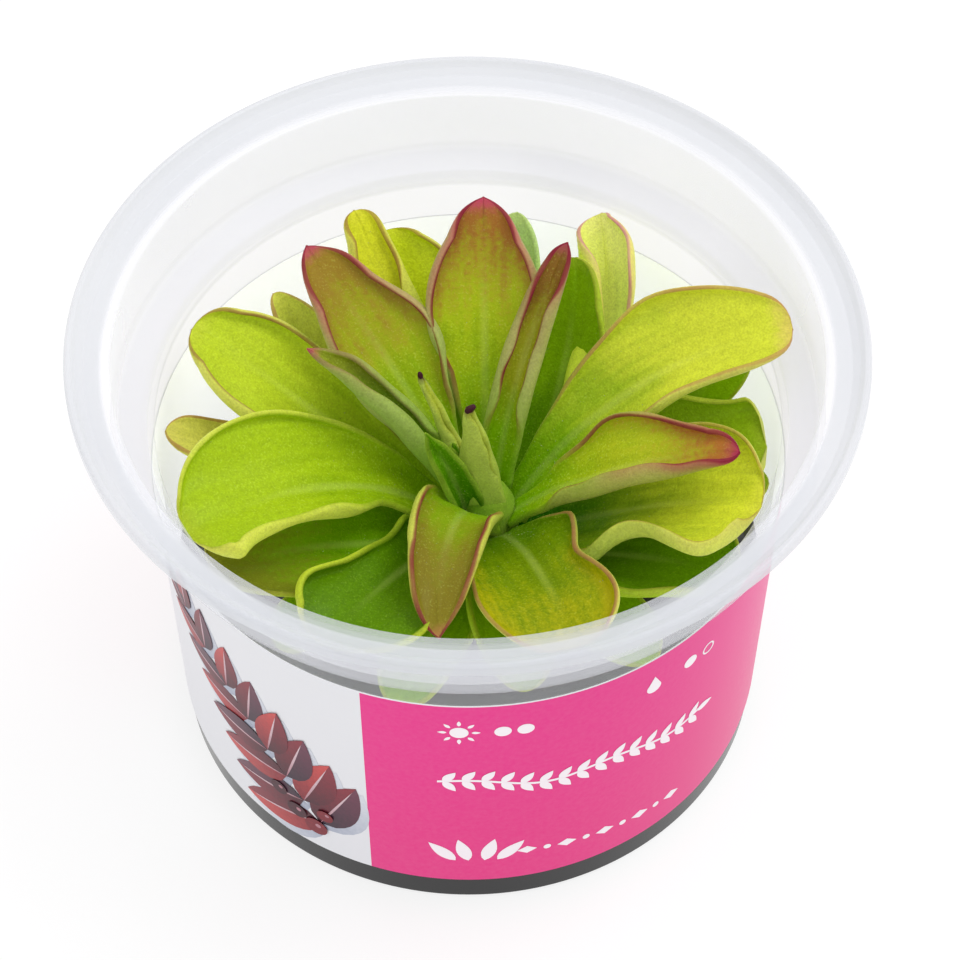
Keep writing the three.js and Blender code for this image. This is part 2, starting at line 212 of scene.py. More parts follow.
def shader_group(name, inputs, more_outputs=()):
    """An empty group that finds the look of a surface from its place and those other inputs."""
    outputs = {**SURFACE, **{socket_name: "value" for socket_name in more_outputs}}
    return new_tree(name, "ShaderNodeTree", {"Place": "vector", **inputs}, outputs)


def give_surface(graph, out, colour, roughness, height):
    for socket_name, socket in zip(SURFACE, (colour, roughness, height)):
        graph.put(out.inputs[socket_name], socket)


def new_material(name, values):
    """A material, its graph and its shader, with the shader's own values set."""
    material = bpy.data.materials.new(name)
    material.use_nodes = True
    shader = material.node_tree.nodes["Principled BSDF"]
    for key, value in values.items():
        shader.inputs[key].default_value = value
    return material, Graph(material.node_tree), shader


def material_with(name, group, group_values, plain, bump=0.3, bump_depth=0.1 * MM):
    """A material whose colour, roughness and relief come from a group.

    A group's value may be a function that makes a socket in the material's graph. plain holds the shader's
    own values, bump is the relief's strength and bump_depth its depth.
    """
    material, graph, shader = new_material(name, plain)
    effect = graph.add("ShaderNodeGroup", node_tree=group)
    place = graph.add("ShaderNodeTexCoord").outputs["Object"]
    for key, value in {"Place": place, **group_values}.items():
        if callable(value):
            value = value(graph)
        graph.put(effect.inputs[key], value)
    graph.put(shader.inputs["Base Color"], effect.outputs["Color"])
    graph.put(shader.inputs["Roughness"], effect.outputs["Roughness"])
    relief = graph.add("ShaderNodeBump", {"Strength": bump, "Distance": bump_depth,
                                          "Height": effect.outputs["Height"]})
    graph.put(shader.inputs["Normal"], relief.outputs["Normal"])
    return material, graph, shader, effect


def glow_by_itself(material):
    """Keeps a faintly glowing material out of the lamps, which would cost render time."""
    material.cycles.emission_sampling = "NONE"


print("socket kinds:", list(KINDS))

# %% [markdown]
# ## Pieces made by rules
# The cup, its wrap, the gel and the rootstock are round, so one tree of geometry nodes turns an outline
# into each of them. Turning leaves a seam and a pole, which Merge by Distance closes. The result is made a
# plain mesh, because the rest of the work wants a mesh and not a live modifier.


# %% Helpers for meshes
def new_object(name, mesh):
    made = bpy.data.objects.new(name, mesh)
    scene.collection.objects.link(made)
    return made


def plain_mesh(name, points, faces=(), edges=()):
    mesh = bpy.data.meshes.new(name)
    mesh.from_pydata([tuple(p) for p in points], list(edges), [tuple(f) for f in faces])
    mesh.update()
    return mesh


WELD = 1e-7
SHARP_FROM = math.radians(50)


def close_and_turn_out(mesh):
    """Welds doubles, turns the faces outwards and shades smoothly, apart from sharp edges."""
    work = bmesh.new()
    work.from_mesh(mesh)
    bmesh.ops.remove_doubles(work, verts=work.verts, dist=WELD)
    bmesh.ops.dissolve_degenerate(work, edges=work.edges, dist=WELD)
    bmesh.ops.recalc_face_normals(work, faces=work.faces)
    open_edges = sum(not edge.is_manifold for edge in work.edges)
    work.to_mesh(mesh)
    work.free()
    mesh.shade_smooth()
    mesh.set_sharp_from_angle(angle=SHARP_FROM)
    return open_edges


print("smooth up to", round(math.degrees(SHARP_FROM)), "degrees between faces")


# %% Helpers for pieces made by geometry trees
def drop_empty_slot(mesh):
    """A tree that starts from a bare mesh leaves an empty first material slot."""
    if len(mesh.materials) > 1 and mesh.materials[0] is None:
        slots = [face.material_index - 1 for face in mesh.polygons]
        mesh.materials.pop(index=0)
        mesh.polygons.foreach_set("material_index", slots)


def run_tree(source, tree, name, values):
    """Runs a geometry tree on an object and gives its result as a plain object. The source is removed."""
    modifier = source.modifiers.new("build", "NODES")
    modifier.node_group = tree
    for item in tree.interface.items_tree:
        if item.item_type == "SOCKET" and item.in_out == "INPUT" and item.name in values:
            modifier[item.identifier] = values[item.name]
    evaluated = source.evaluated_get(bpy.context.evaluated_depsgraph_get())
    mesh = bpy.data.meshes.new_from_object(evaluated)
    mesh.name = name
    drop_empty_slot(mesh)
    bpy.data.objects.remove(source)
    return new_object(name, mesh)


def keep(piece, slot, *nodes):
    """Places a finished piece in the model: it rides on the one body and stands for its packed nodes."""
    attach(piece, "root")
    if nodes:
        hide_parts(*nodes)
    triangles = sum(len(face.vertices) - 2 for face in piece.data.polygons)
    print(f"{piece.name}: {triangles} triangles")
    return piece


def geometry_tree(name, inputs):
    """An empty tree that takes a geometry and those other inputs, and gives a geometry."""
    return new_tree(name, "GeometryNodeTree", {"Geometry": "geometry", **inputs}, {"Geometry": "geometry"})


def end_tree(graph, out, geometry, material):
    """Ends a geometry tree with real faces that have their material."""
    real = graph.add("GeometryNodeRealizeInstances", {"Geometry": geometry}).outputs[0]
    done = graph.add("GeometryNodeSetMaterial", {"Geometry": real, "Material": material}).outputs[0]
    graph.put(out.inputs[0], done)


print("helpers:", [made.__name__ for made in (run_tree, keep, geometry_tree, end_tree)])


# %% A tree that turns an outline round the upright axis
def build_turning_tree():
    tree, g, given, out = geometry_tree("turned_outline", {
        "Steps": "count", "Corner Radius": "value", "Corner Steps": "count", "Closed": "count",
        "Material": "material"})
    line = g.add("GeometryNodeMeshToCurve", {"Mesh": given["Geometry"]}).outputs["Curve"]
    soft = g.add("GeometryNodeFilletCurve", {
        "Curve": line, "Count": given["Corner Steps"], "Radius": given["Corner Radius"],
        "Limit Radius": True}, mode="POLY").outputs["Curve"]
    size = g.add("GeometryNodeAttributeDomainSize", {"Geometry": soft}, component="CURVE")
    count = size.outputs["Point Count"]
    around = g.plus(given["Steps"], 1)
    rows = g.plus(count, given["Closed"])
    grid = g.add("GeometryNodeMeshGrid", {"Vertices X": rows, "Vertices Y": around})
    index = g.add("GeometryNodeInputIndex").outputs["Index"]
    row = g.math("FLOOR", g.math("DIVIDE", g.plus(index, 0.5), around))
    column = g.math("SUBTRACT", index, g.times(row, around))
    on_line = g.add("GeometryNodeSampleIndex", {
        "Geometry": soft, "Index": g.math("MODULO", row, count),
        "Value": g.add("GeometryNodeInputPosition").outputs[0]}, data_type="FLOAT_VECTOR").outputs[0]
    profile = g.split(on_line)
    turn = g.math("DIVIDE", g.times(column, 2 * math.pi), given["Steps"])
    place = g.around(profile["X"], turn, profile["Z"])
    shaped = g.add("GeometryNodeSetPosition", {"Geometry": grid.outputs["Mesh"], "Position": place})
    welded = g.add("GeometryNodeMergeByDistance", {"Geometry": shaped.outputs[0], "Distance": SEAM_WELD})
    end_tree(g, out, welded.outputs[0], given["Material"])
    return tree


SEAM_WELD = 1e-6
TURNED = build_turning_tree()
ROUND_STEPS = 192


def turned(name, profile, material, closed=False, corner=0.0, corner_steps=1, steps=ROUND_STEPS):
    """A round piece from [radius, height] points in mm. A closed profile makes a ring."""
    count = len(profile)
    links = [(i, (i + 1) % count) for i in range(count if closed else count - 1)]
    outline = plain_mesh(name, [(r * MM, 0, z * MM) for r, z in profile], edges=links)
    piece = run_tree(new_object(name + "_outline", outline), TURNED, name, {
        "Steps": steps, "Corner Radius": corner * MM, "Corner Steps": corner_steps, "Closed": int(closed),
        "Material": material})
    open_edges = close_and_turn_out(piece.data)
    print(name, "open edges:", open_edges, "materials:", [m and m.name for m in piece.data.materials])
    return piece


print("turning tree nodes:", len(TURNED.nodes))

# %% [markdown]
# ## The skin of a leaf
# A butterwort's leaf is lime green where it stands in the light and deeper green at its foot. Its paler
# tips hold some painted light, and its deep foot is partly its own colour and partly painted shade where
# the leaves crowd together. Young inner leaves are flushed red-brown, and every rolled margin ends in a
# thin purple line. The whole face is covered with glands, which show as a fine pale grain. One shader group
# holds all of that, and each leaf gives it its own colours. It reads four values that the blades carry: how
# far along and across the leaf a point is, how far from the margin, and whether it is on the underside.


# %% Leaf skin
# How many patches, mottles and grains a metre of skin has
PATCHES, MOTTLES, GRAINS = 150.0, 1300.0, 3800.0
RIB_GREEN, GLAND_GREEN = (0.66, 0.76, 0.2, 1), (0.66, 0.78, 0.16, 1)
BLADE_VALUES = ("Along", "Across", "Edge", "Under")
SKIN_COLOURS = ("Fresh", "Deep", "Flush", "Margin", "Outside", "Band")
SKIN_SHARES = ("Blush", "Deep Reach", "Flush From", "Flush Amount", "Margin Width", "Margin Amount",
               "Tip From", "Tip Amount", "Speckle")


def build_leaf_skin():
    tree, g, given, out = shader_group("leaf_skin", {
        **dict.fromkeys(BLADE_VALUES + SKIN_SHARES, "value"), **dict.fromkeys(SKIN_COLOURS, "colour")})
    place, along, across, edge = (given[key] for key in ("Place", "Along", "Across", "Edge"))
    patches = g.noise(place, PATCHES)
    mottle = g.noise(place, MOTTLES, 1.0)
    grain = g.noise(place, GRAINS, 1.0)
    lengthways = g.add("ShaderNodeCombineXYZ", {"X": across, "Y": g.times(along, 3.0)}).outputs[0]
    streaks = g.noise(lengthways, 0.9, 1.0)
    dots = g.fade(grain, 0.6, 0.72)

    # The green of the upper face: deep at the foot, partly painted shade there, mottled all over, paler
    # along the midrib
    reach = g.fade(g.plus(along, g.swing(patches, 0.5), g.swing(streaks, 0.25)), 0.0, given["Deep Reach"])
    brightness = g.plus(1.0, g.swing(streaks, 0.2), g.swing(mottle, 0.26), g.swing(grain, 0.52))
    green = g.brightened(g.mix(reach, given["Deep"], given["Fresh"]), brightness)
    on_rib = g.less(g.fade(g.math("ABSOLUTE", across), 0.1, 0.9))
    green = g.mix(g.times(on_rib, g.less(g.fade(along, 0.5, 0.9)), 0.16), green, RIB_GREEN)

    # The flush of red-brown, which starts somewhere along the leaf and lies thickest near its margins
    inside_edge = g.less(g.fade(edge, 1.2, 4.5))
    spread = g.plus(along, g.swing(mottle, 0.35), g.swing(patches, 0.3), g.swing(grain, 0.3),
                    g.times(inside_edge, 0.22), g.swing(streaks, 0.35))
    flush = g.fade(spread, given["Flush From"], g.plus(given["Flush From"], 0.55))
    face = g.mix(g.times(flush, given["Flush Amount"]), green, given["Flush"])

    # The underside, with a blush near the margin and the tip, and then the pale glands of the upper face
    # Towards the foot the underside goes over into the deep green, partly painted shade
    back = g.mix(g.times(g.less(reach), 0.6), g.brightened(given["Outside"], brightness), given["Deep"])
    towards_tip = g.fade(g.plus(along, g.swing(patches, 0.4)), 0.4, 1.0)
    blush = g.times(g.less(g.fade(edge, 0.2, 1.9)), towards_tip)
    back = g.mix(g.times(blush, given["Blush"]), back, given["Band"])
    skin = g.mix(given["Under"], face, back)
    speckled = g.times(dots, given["Speckle"], g.less(given["Under"]), g.less(g.times(along, 0.6)))
    skin = g.mix(speckled, skin, GLAND_GREEN)

    # The coloured tip and the thin broken line along the margin
    tip = g.fade(g.plus(along, g.swing(mottle, 0.04)), given["Tip From"], 1.0)
    skin = g.mix(g.times(tip, given["Tip Amount"]), skin, given["Band"])
    uneven_edge = g.plus(edge, g.swing(mottle, 0.12))
    rim = g.less(g.fade(uneven_edge, g.times(given["Margin Width"], 0.5), given["Margin Width"]))
    rim = g.times(rim, g.less(g.fade(given["Under"], 0.55, 0.95)))
    broken = g.times(g.fade(along, 0.12, 0.45), g.plus(0.8, g.swing(patches, 1.0)))
    skin = g.mix(g.times(rim, given["Margin Amount"], broken), skin, given["Margin"])

    roughness = g.plus(0.44, g.swing(mottle, 0.2), g.times(dots, -0.1))
    give_surface(g, out, skin, roughness, g.plus(g.times(grain, 0.5), g.times(mottle, 0.5)))
    return tree


LEAF_SKIN = build_leaf_skin()
print("leaf skin nodes:", len(LEAF_SKIN.nodes))

# %% Leaf material
PLAIN_TONES = {"Fresh": (196, 210, 30), "Deep": (112, 164, 0), "Flush": (170, 110, 50),
               "Margin": (128, 62, 50), "Outside": (206, 214, 92), "Band": (196, 140, 96), "Blush": 0.16,
               "Deep Reach": 0.75, "Flush From": 0.8, "Flush Amount": 0.0, "Margin Width": 0.22,
               "Margin Amount": 0.7, "Tip From": 0.93, "Tip Amount": 0.1, "Speckle": 0.16}
# The flesh lets light through. A faint glow of its own colour stands for that light in the folds.
LIGHT_THROUGH = 0.09
LEAF_FLESH = {"IOR": 1.4, "Specular IOR Level": 0.1, "Subsurface Weight": 0.18,
              "Subsurface Radius": (0.9, 1.0, 0.2), "Subsurface Scale": 0.9 * MM, "Coat Weight": 0.04,
              "Coat Roughness": 0.2, "Emission Color": (0, 0, 0, 1), "Emission Strength": LIGHT_THROUGH}


def carried(name):
    """Reads a value that the mesh carries."""
    return lambda graph: graph.add("ShaderNodeAttribute", attribute_name=name).outputs["Fac"]


def skin_values(tones):
    """The plain tones with those in their place, as values for the skin group."""
    return {key: srgb(value) if isinstance(value, tuple) else value
            for key, value in {**PLAIN_TONES, **tones}.items()}


def leaf_material(name, tones):
    values = {**skin_values(tones), **{key: carried(key.lower()) for key in BLADE_VALUES}}
    material, graph, shader, effect = material_with(
        name + "_skin", LEAF_SKIN, values, LEAF_FLESH, bump=0.75, bump_depth=0.2 * MM)
    graph.put(shader.inputs["Emission Color"], effect.outputs["Color"])
    glow_by_itself(material)
    return material


print("values of a skin:", len(PLAIN_TONES))

# %% [markdown]
# ## Blades
# Each blade is a sheet round a curved midrib: a cubic curve in the upright plane of the leaf's heading,
# bent sideways towards its tip. Across the blade the surface turns up in a shallow trough and then rolls
# over at each margin. The same few values per leaf shaped the packed blades. Here every blade gets many
# more rows, round margins, a groove along the midrib and small uneven places, and its foot runs into the
# rootstock. A formula is the right tool, because the roll has to follow the surface at a true width.

# %% What a leaf is given
# heading is the leaf's direction from above, in degrees: -90 points to the front. foot and tip are
# (distance from the crown's axis, height) in mm. pitch is the midrib's slope at each end, in degrees.
# swerve is how far the tip bends to the left, in mm, and tilt how far the blade leans, in degrees.
# neck and widest are shares of the width and the length. spread, taper and blunt shape the outline.
# keel, trough and the rolls are degrees that the surface turns at the midrib, across it and at a margin.
# A margin rolls over a width of roll_width mm, times wide_left or wide_right, and over no more than
# roll_share of its half. cone gives narrow rows the whole trough too. The margins wave up and down by
# wave_left and wave_right mm: waves is how often, phase where in a wave they start. thick is mm.
# A swell is (half, place along, further out, higher, length): 1 is the left half and -1 the right one.
CROWN_X = 2.4
PLAIN_LEAF = dict(swerve=0, tilt=0, neck=0.28, spread=1.7, widest=0.6, taper=2, blunt=0.5, keel=5,
                  trough=28, roll_left=85, roll_right=85, roll_width=2.4, wide_left=1, wide_right=1,
                  roll_share=0.4, cone=False, wave_left=0, wave_right=0, waves=2, phase=0, swells=(),
                  thick=1.15)
YOUNG_LEAF = dict(widest=0.12, neck=0.9, taper=1.2, blunt=0.85, keel=20, trough=150, cone=True,
                  roll_left=0, roll_right=0, thick=1.2)
print("values that a leaf can change:", len(PLAIN_LEAF))

# %% Inner leaves, with rolled and flushed margins
INNER_LEAVES = {
    "leaf_inner_1": dict(heading=91, foot=(5.5, 34.3), tip=(25.9, 66), pitch=(56, 54), tilt=-3,
        half_width=9.2, widest=0.62, spread=3, blunt=0.75, trough=12, roll_left=150, roll_right=150,
        roll_width=2.5),
    "leaf_inner_2": dict(heading=138, foot=(5.2, 35.6), tip=(31.4, 62), pitch=(56, 41), tilt=-10,
        half_width=8.5, widest=0.5, spread=2.6, blunt=0.75, trough=20, roll_left=125, roll_right=155,
        roll_width=2.5, swells=((-1, 0.58, 1.1, 0, 0.14),)),
    "leaf_inner_3": dict(heading=70, foot=(5, 36.4), tip=(22.2, 63.8), pitch=(72, 48), swerve=-3,
        half_width=4.7, widest=0.4, neck=0.5, blunt=0.7, keel=26, roll_left=165, roll_right=175,
        roll_width=2.5, roll_share=0.5),
    "leaf_inner_4": dict(heading=167, foot=(4.8, 37), tip=(23.4, 59.8), pitch=(60, 34), half_width=4.9,
        widest=0.4, spread=2.2, blunt=0.8, keel=20, trough=64, roll_left=165, roll_right=165,
        roll_width=3.6, roll_share=0.58),
    "leaf_inner_5": dict(heading=-18, foot=(5.3, 35.8), tip=(33, 58), pitch=(52, 26), tilt=6,
        half_width=7.8, widest=0.6, blunt=0.7, roll_left=130, roll_right=175, wide_right=1.7,
        roll_share=0.57,
        swells=((1, 0.46, 1.6, 0, 0.14), (1, 0.8, -1, 0, 0.12), (-1, 0.66, -1.4, 0, 0.25))),
    "leaf_inner_6": dict(heading=-115, foot=(4.4, 35.8), tip=(31, 48), pitch=(70, -20), swerve=8,
        half_width=7.3, widest=0.35, neck=0.5, blunt=0.8, roll_left=155, roll_right=125, wide_left=1.5,
        swells=((1, 0.36, -1.2, 0, 0.2),)),
}
print("inner leaves:", len(INNER_LEAVES))

# %% Outer leaves, the broad lime ones
OUTER_LEAVES = {
    "leaf_outer_1": dict(heading=28, foot=(5.8, 33.6), tip=(37.6, 61.4), pitch=(54, 22), swerve=-12,
        tilt=5, half_width=9.3, widest=0.68, neck=0.32, blunt=0.42, trough=24, roll_left=75,
        roll_right=150, wide_right=1.4, swells=((1, 0.66, 1.4, 0, 0.1), (-1, 0.7, -3.4, 0, 0.22))),
    "leaf_outer_2": dict(heading=164, foot=(5.6, 30.4), tip=(39.6, 57), pitch=(40, 31), tilt=-8,
        half_width=9.3, widest=0.72, keel=2, trough=22, roll_left=120, roll_right=140, wide_right=1.2),
    "leaf_outer_3": dict(heading=188, foot=(5.7, 33), tip=(39.1, 52.4), pitch=(50, 6), swerve=14, tilt=2,
        half_width=12.4, widest=0.72, neck=0.32, spread=1.8, keel=8, roll_left=130, roll_right=110,
        roll_width=4, wide_right=0.6, wave_left=1.2, waves=1.5, phase=0.42,
        swells=((1, 0.34, -5, 0, 0.18), (1, 0.73, -5, 0.6, 0.19), (1, 0.98, 5.6, -1.4, 0.07))),
    "leaf_outer_4": dict(heading=-23, foot=(5.8, 30.8), tip=(37.2, 53), pitch=(42, 22), tilt=3,
        half_width=12, widest=0.72, neck=0.32, roll_left=75, roll_right=130, wide_right=1.3,
        swells=((-1, 0.94, 4.6, -1.4, 0.12), (-1, 0.64, -2.6, 2, 0.13), (-1, 0.42, 2.6, -2, 0.1))),
    "leaf_outer_5": dict(heading=-71, foot=(5.2, 33), tip=(34, 47), pitch=(58, -4), tilt=6,
        half_width=10.6, widest=0.76, neck=0.27, blunt=0.4, roll_right=40, wave_left=0.5,
        swells=((1, 0.62, -3.8, 0, 0.22), (1, 0.48, 1.8, 0, 0.1), (1, 0.37, 2.2, 0.2, 0.08))),
    "leaf_outer_6": dict(heading=237, foot=(5.7, 31.2), tip=(36.6, 45.4), pitch=(50, 0), half_width=11.4,
        widest=0.8, neck=0.32, spread=2, trough=22, roll_left=60, roll_right=145, wide_right=1.3,
        swells=((-1, 0.6, -3.6, 0, 0.24), (-1, 0.27, 2.4, 0, 0.1))),
    "leaf_outer_7": dict(heading=30, foot=(5.5, 31.4), tip=(30.6, 54), pitch=(28, 62), swerve=22, tilt=4,
        half_width=7, widest=0.8, neck=0.3, trough=12, roll_left=240, roll_right=60, roll_width=8,
        wide_right=0.3, roll_share=0.86, wave_right=1.2, waves=2.2, phase=0.1,
        swells=((1, 0.62, 2.6, 0, 0.3), (-1, 0.72, -1.4, 0, 0.06), (-1, 0.9, 0.6, 0, 0.06))),
    "leaf_outer_8": dict(heading=115, foot=(5.7, 29.4), tip=(32.7, 55.6), pitch=(44, 40), tilt=-8,
        half_width=10.4, widest=0.66, neck=0.32, roll_left=60, roll_right=100),
    "leaf_outer_9": dict(heading=208, foot=(5.7, 29.3), tip=(39.4, 44.6), pitch=(32, 10), half_width=12,
        trough=26, roll_left=20, swells=((1, 0.55, -3, -3, 0.3), (-1, 0.9, 1.4, 0, 0.1))),
    "leaf_outer_10": dict(heading=54, foot=(5.7, 29.2), tip=(27, 55.6), pitch=(24, 68), swerve=5,
        half_width=7.6, neck=0.32, trough=18, wave_left=1.2, waves=3,
        swells=((1, 0.7, 1, 0, 0.05), (1, 0.5, 1, 0, 0.06))),
    "leaf_outer_11": dict(heading=121, foot=(6.3, 32.4), tip=(34, 60), pitch=(52, 44), half_width=6.8,
        widest=0.6, neck=0.32, roll_left=115, roll_right=235, roll_width=3, wide_right=1.7,
        roll_share=0.66, swells=((-1, 0.75, -1.2, 0, 0.14),)),
    "leaf_outer_12": dict(heading=-2, foot=(5.7, 29), tip=(36, 48), pitch=(38, 26), half_width=8.4,
        widest=0.8, spread=2.2, taper=8, blunt=0.25, roll_left=150,
        swells=((1, 0.6, 3.6, 2, 0.2), (1, 0.98, 0.6, 0, 0.04))),
    "leaf_outer_13": dict(heading=-32, foot=(5.7, 27.4), tip=(36.6, 44), pitch=(33, 12), half_width=11,
        widest=0.64, neck=0.32, spread=2.2),
}
print("outer leaves:", len(OUTER_LEAVES))

# %% Low leaves, and the young ones of the heart
LOW_LEAVES = {
    "leaf_low_1": dict(heading=-82, foot=(5.7, 29.4), tip=(34, 40), pitch=(38, 6), half_width=6.8),
    "leaf_low_2": dict(heading=146, foot=(5.7, 27.2), tip=(33.8, 55), pitch=(34, 47), half_width=4.8),
    "leaf_low_3": dict(heading=181, foot=(5.7, 27.3), tip=(41.2, 50.5), pitch=(30, 34), half_width=6),
    "leaf_low_4": dict(heading=83, foot=(5.6, 26.6), tip=(33.8, 55), pitch=(24, 60), half_width=5.2),
    "leaf_low_5": dict(heading=17, foot=(6, 26.6), tip=(36, 55), pitch=(20, 46), tilt=20, half_width=6.2,
        trough=6, roll_right=0, swells=((-1, 0.7, -1.5, -1.5, 0.3),)),
    "leaf_low_6": dict(heading=-7, foot=(5.7, 25.4), tip=(36.6, 44.5), pitch=(24, 32), half_width=6.4),
    "leaf_low_7": dict(heading=-52, foot=(5.7, 25.8), tip=(34, 36), pitch=(26, 8), half_width=7),
    "leaf_low_8": dict(heading=-108, foot=(5.9, 27.6), tip=(36, 37), pitch=(30, 4), tilt=-3,
        half_width=6.8),
    "leaf_low_9": dict(heading=222, foot=(6.2, 25.2), tip=(36, 36), pitch=(24, 8), half_width=7.2),
}
YOUNG_LEAVES = {
    "heart_leaf_1": dict(heading=150, foot=(3.2, 32), tip=(1.7, 55.6), pitch=(84, 96), swerve=2,
        half_width=8.8),
    "heart_leaf_2": dict(heading=205, foot=(3.2, 33), tip=(8.6, 53.5), pitch=(84, 70), tilt=-75,
        half_width=3.6, widest=0.3, trough=75, cone=False, roll_left=30, roll_right=30),
    "heart_leaf_3": dict(heading=144, foot=(3, 33), tip=(10.6, 53.6), pitch=(78, 66), half_width=3),
    "heart_leaf_4": dict(heading=168, foot=(1.4, 33), tip=(4.6, 46), pitch=(80, 74), half_width=2.8),
}
LEAVES = {**INNER_LEAVES, **OUTER_LEAVES, **LOW_LEAVES}
print("leaves:", len(LEAVES), "and", len(YOUNG_LEAVES), "young ones")

# %% The line of a blade
# Rows stand closer towards the tip. Two more rows run into the rootstock by this share of the length.
ROWS, ROW_CROWDING, FOOT_RUN = 44, 1.5, 0.07
TIP_WIDTH = 0.12
SMALL_STEP = 1e-3


def midrib(leaf, t):
    """Points on the midrib, in mm, for shares t of its length."""
    reaches, heights = zip(leaf["foot"], leaf["tip"])
    foot_pitch, tip_pitch = np.radians(leaf["pitch"])
    arm = math.hypot(reaches[1] - reaches[0], heights[1] - heights[0]) / 3
    weights = [(1 - t) ** 3, 3 * (1 - t) ** 2 * t, 3 * (1 - t) * t ** 2, t ** 3]

    def blend(ends, foot_step, tip_step):
        stops = (ends[0], ends[0] + arm * foot_step, ends[1] - arm * tip_step, ends[1])
        return sum(weight * stop for weight, stop in zip(weights, stops))

    reach = blend(reaches, math.cos(foot_pitch), math.cos(tip_pitch))
    height = blend(heights, math.sin(foot_pitch), math.sin(tip_pitch))
    left = leaf["swerve"] * t ** 2
    heading = math.radians(leaf["heading"])
    return np.stack([CROWN_X + reach * math.cos(heading) - left * math.sin(heading),
                     reach * math.sin(heading) + left * math.cos(heading), height], axis=-1)


def unit(vectors):
    return vectors / np.linalg.norm(vectors, axis=-1, keepdims=True)


def blade_frame(leaf, t):
    """The midrib's points, with the ways across the blade and up from it at each of them."""
    tangent = unit(midrib(leaf, t + SMALL_STEP) - midrib(leaf, t - SMALL_STEP))
    heading = math.radians(leaf["heading"])
    level = np.array([-math.sin(heading), math.cos(heading), 0.0])
    side = unit(level - tangent * (tangent @ level)[:, None])
    tilt = np.radians(leaf["tilt"])
    side = side * np.cos(tilt) + np.cross(tangent, side) * np.sin(tilt)
    return midrib(leaf, t), side, np.cross(tangent, side)


def half_width(leaf, t):
    """How far the margin lies from the midrib, along the surface, in mm."""
    t = np.clip(t, 0, 1)
    rise = np.sin(np.minimum(t / leaf["widest"], 1) * math.pi / 2) ** leaf["spread"]
    growing = leaf["neck"] + (1 - leaf["neck"]) * rise
    past = np.clip((t - leaf["widest"]) / (1 - leaf["widest"]), 0, 1)
    falling = np.clip(1 - past ** leaf["taper"], 0, 1) ** leaf["blunt"]
    return np.maximum(TIP_WIDTH, leaf["half_width"] * np.where(t < leaf["widest"], growing, falling))


widths = half_width({**PLAIN_LEAF, **LEAVES["leaf_outer_1"]}, np.linspace(0, 1, 5))
print("half widths of one leaf from foot to tip, in mm:", widths.round(1).tolist())

# %% Across a blade
# Shares of the blade's length: where its margins start to roll, and over which run its tip closes
ROLL_BEGINS, TIP_RUN, CLOSED_AT = 0.4, 0.05, 1.01
# By which share the blade thins towards its tip and its margins, and its least thickness in mm
THINNING, THINNEST = 0.3, 0.62
# Points across a half: up to the roll and in the roll, with short arcs between two points
CENTRE_STEPS, ROLL_STEPS, ARC_STEPS = 8, 8, 3
KEEL_WIDTH = 1.5
# What keeps two leaves from looking alike: slow swings along the margins, and dimples on the face
SWING_RATES = (9, 17, 29)
ROLL_SWING, UNEVENNESS, UNEVEN_OUTLINE = 0.18, 0.22, 0.3
DIMPLE, DIMPLES_ACROSS, DIMPLES_ALONG = 0.3, (0.55, 0.4), (11, -7)
Spot = namedtuple("Spot", "across lift angle from_rib to_edge")


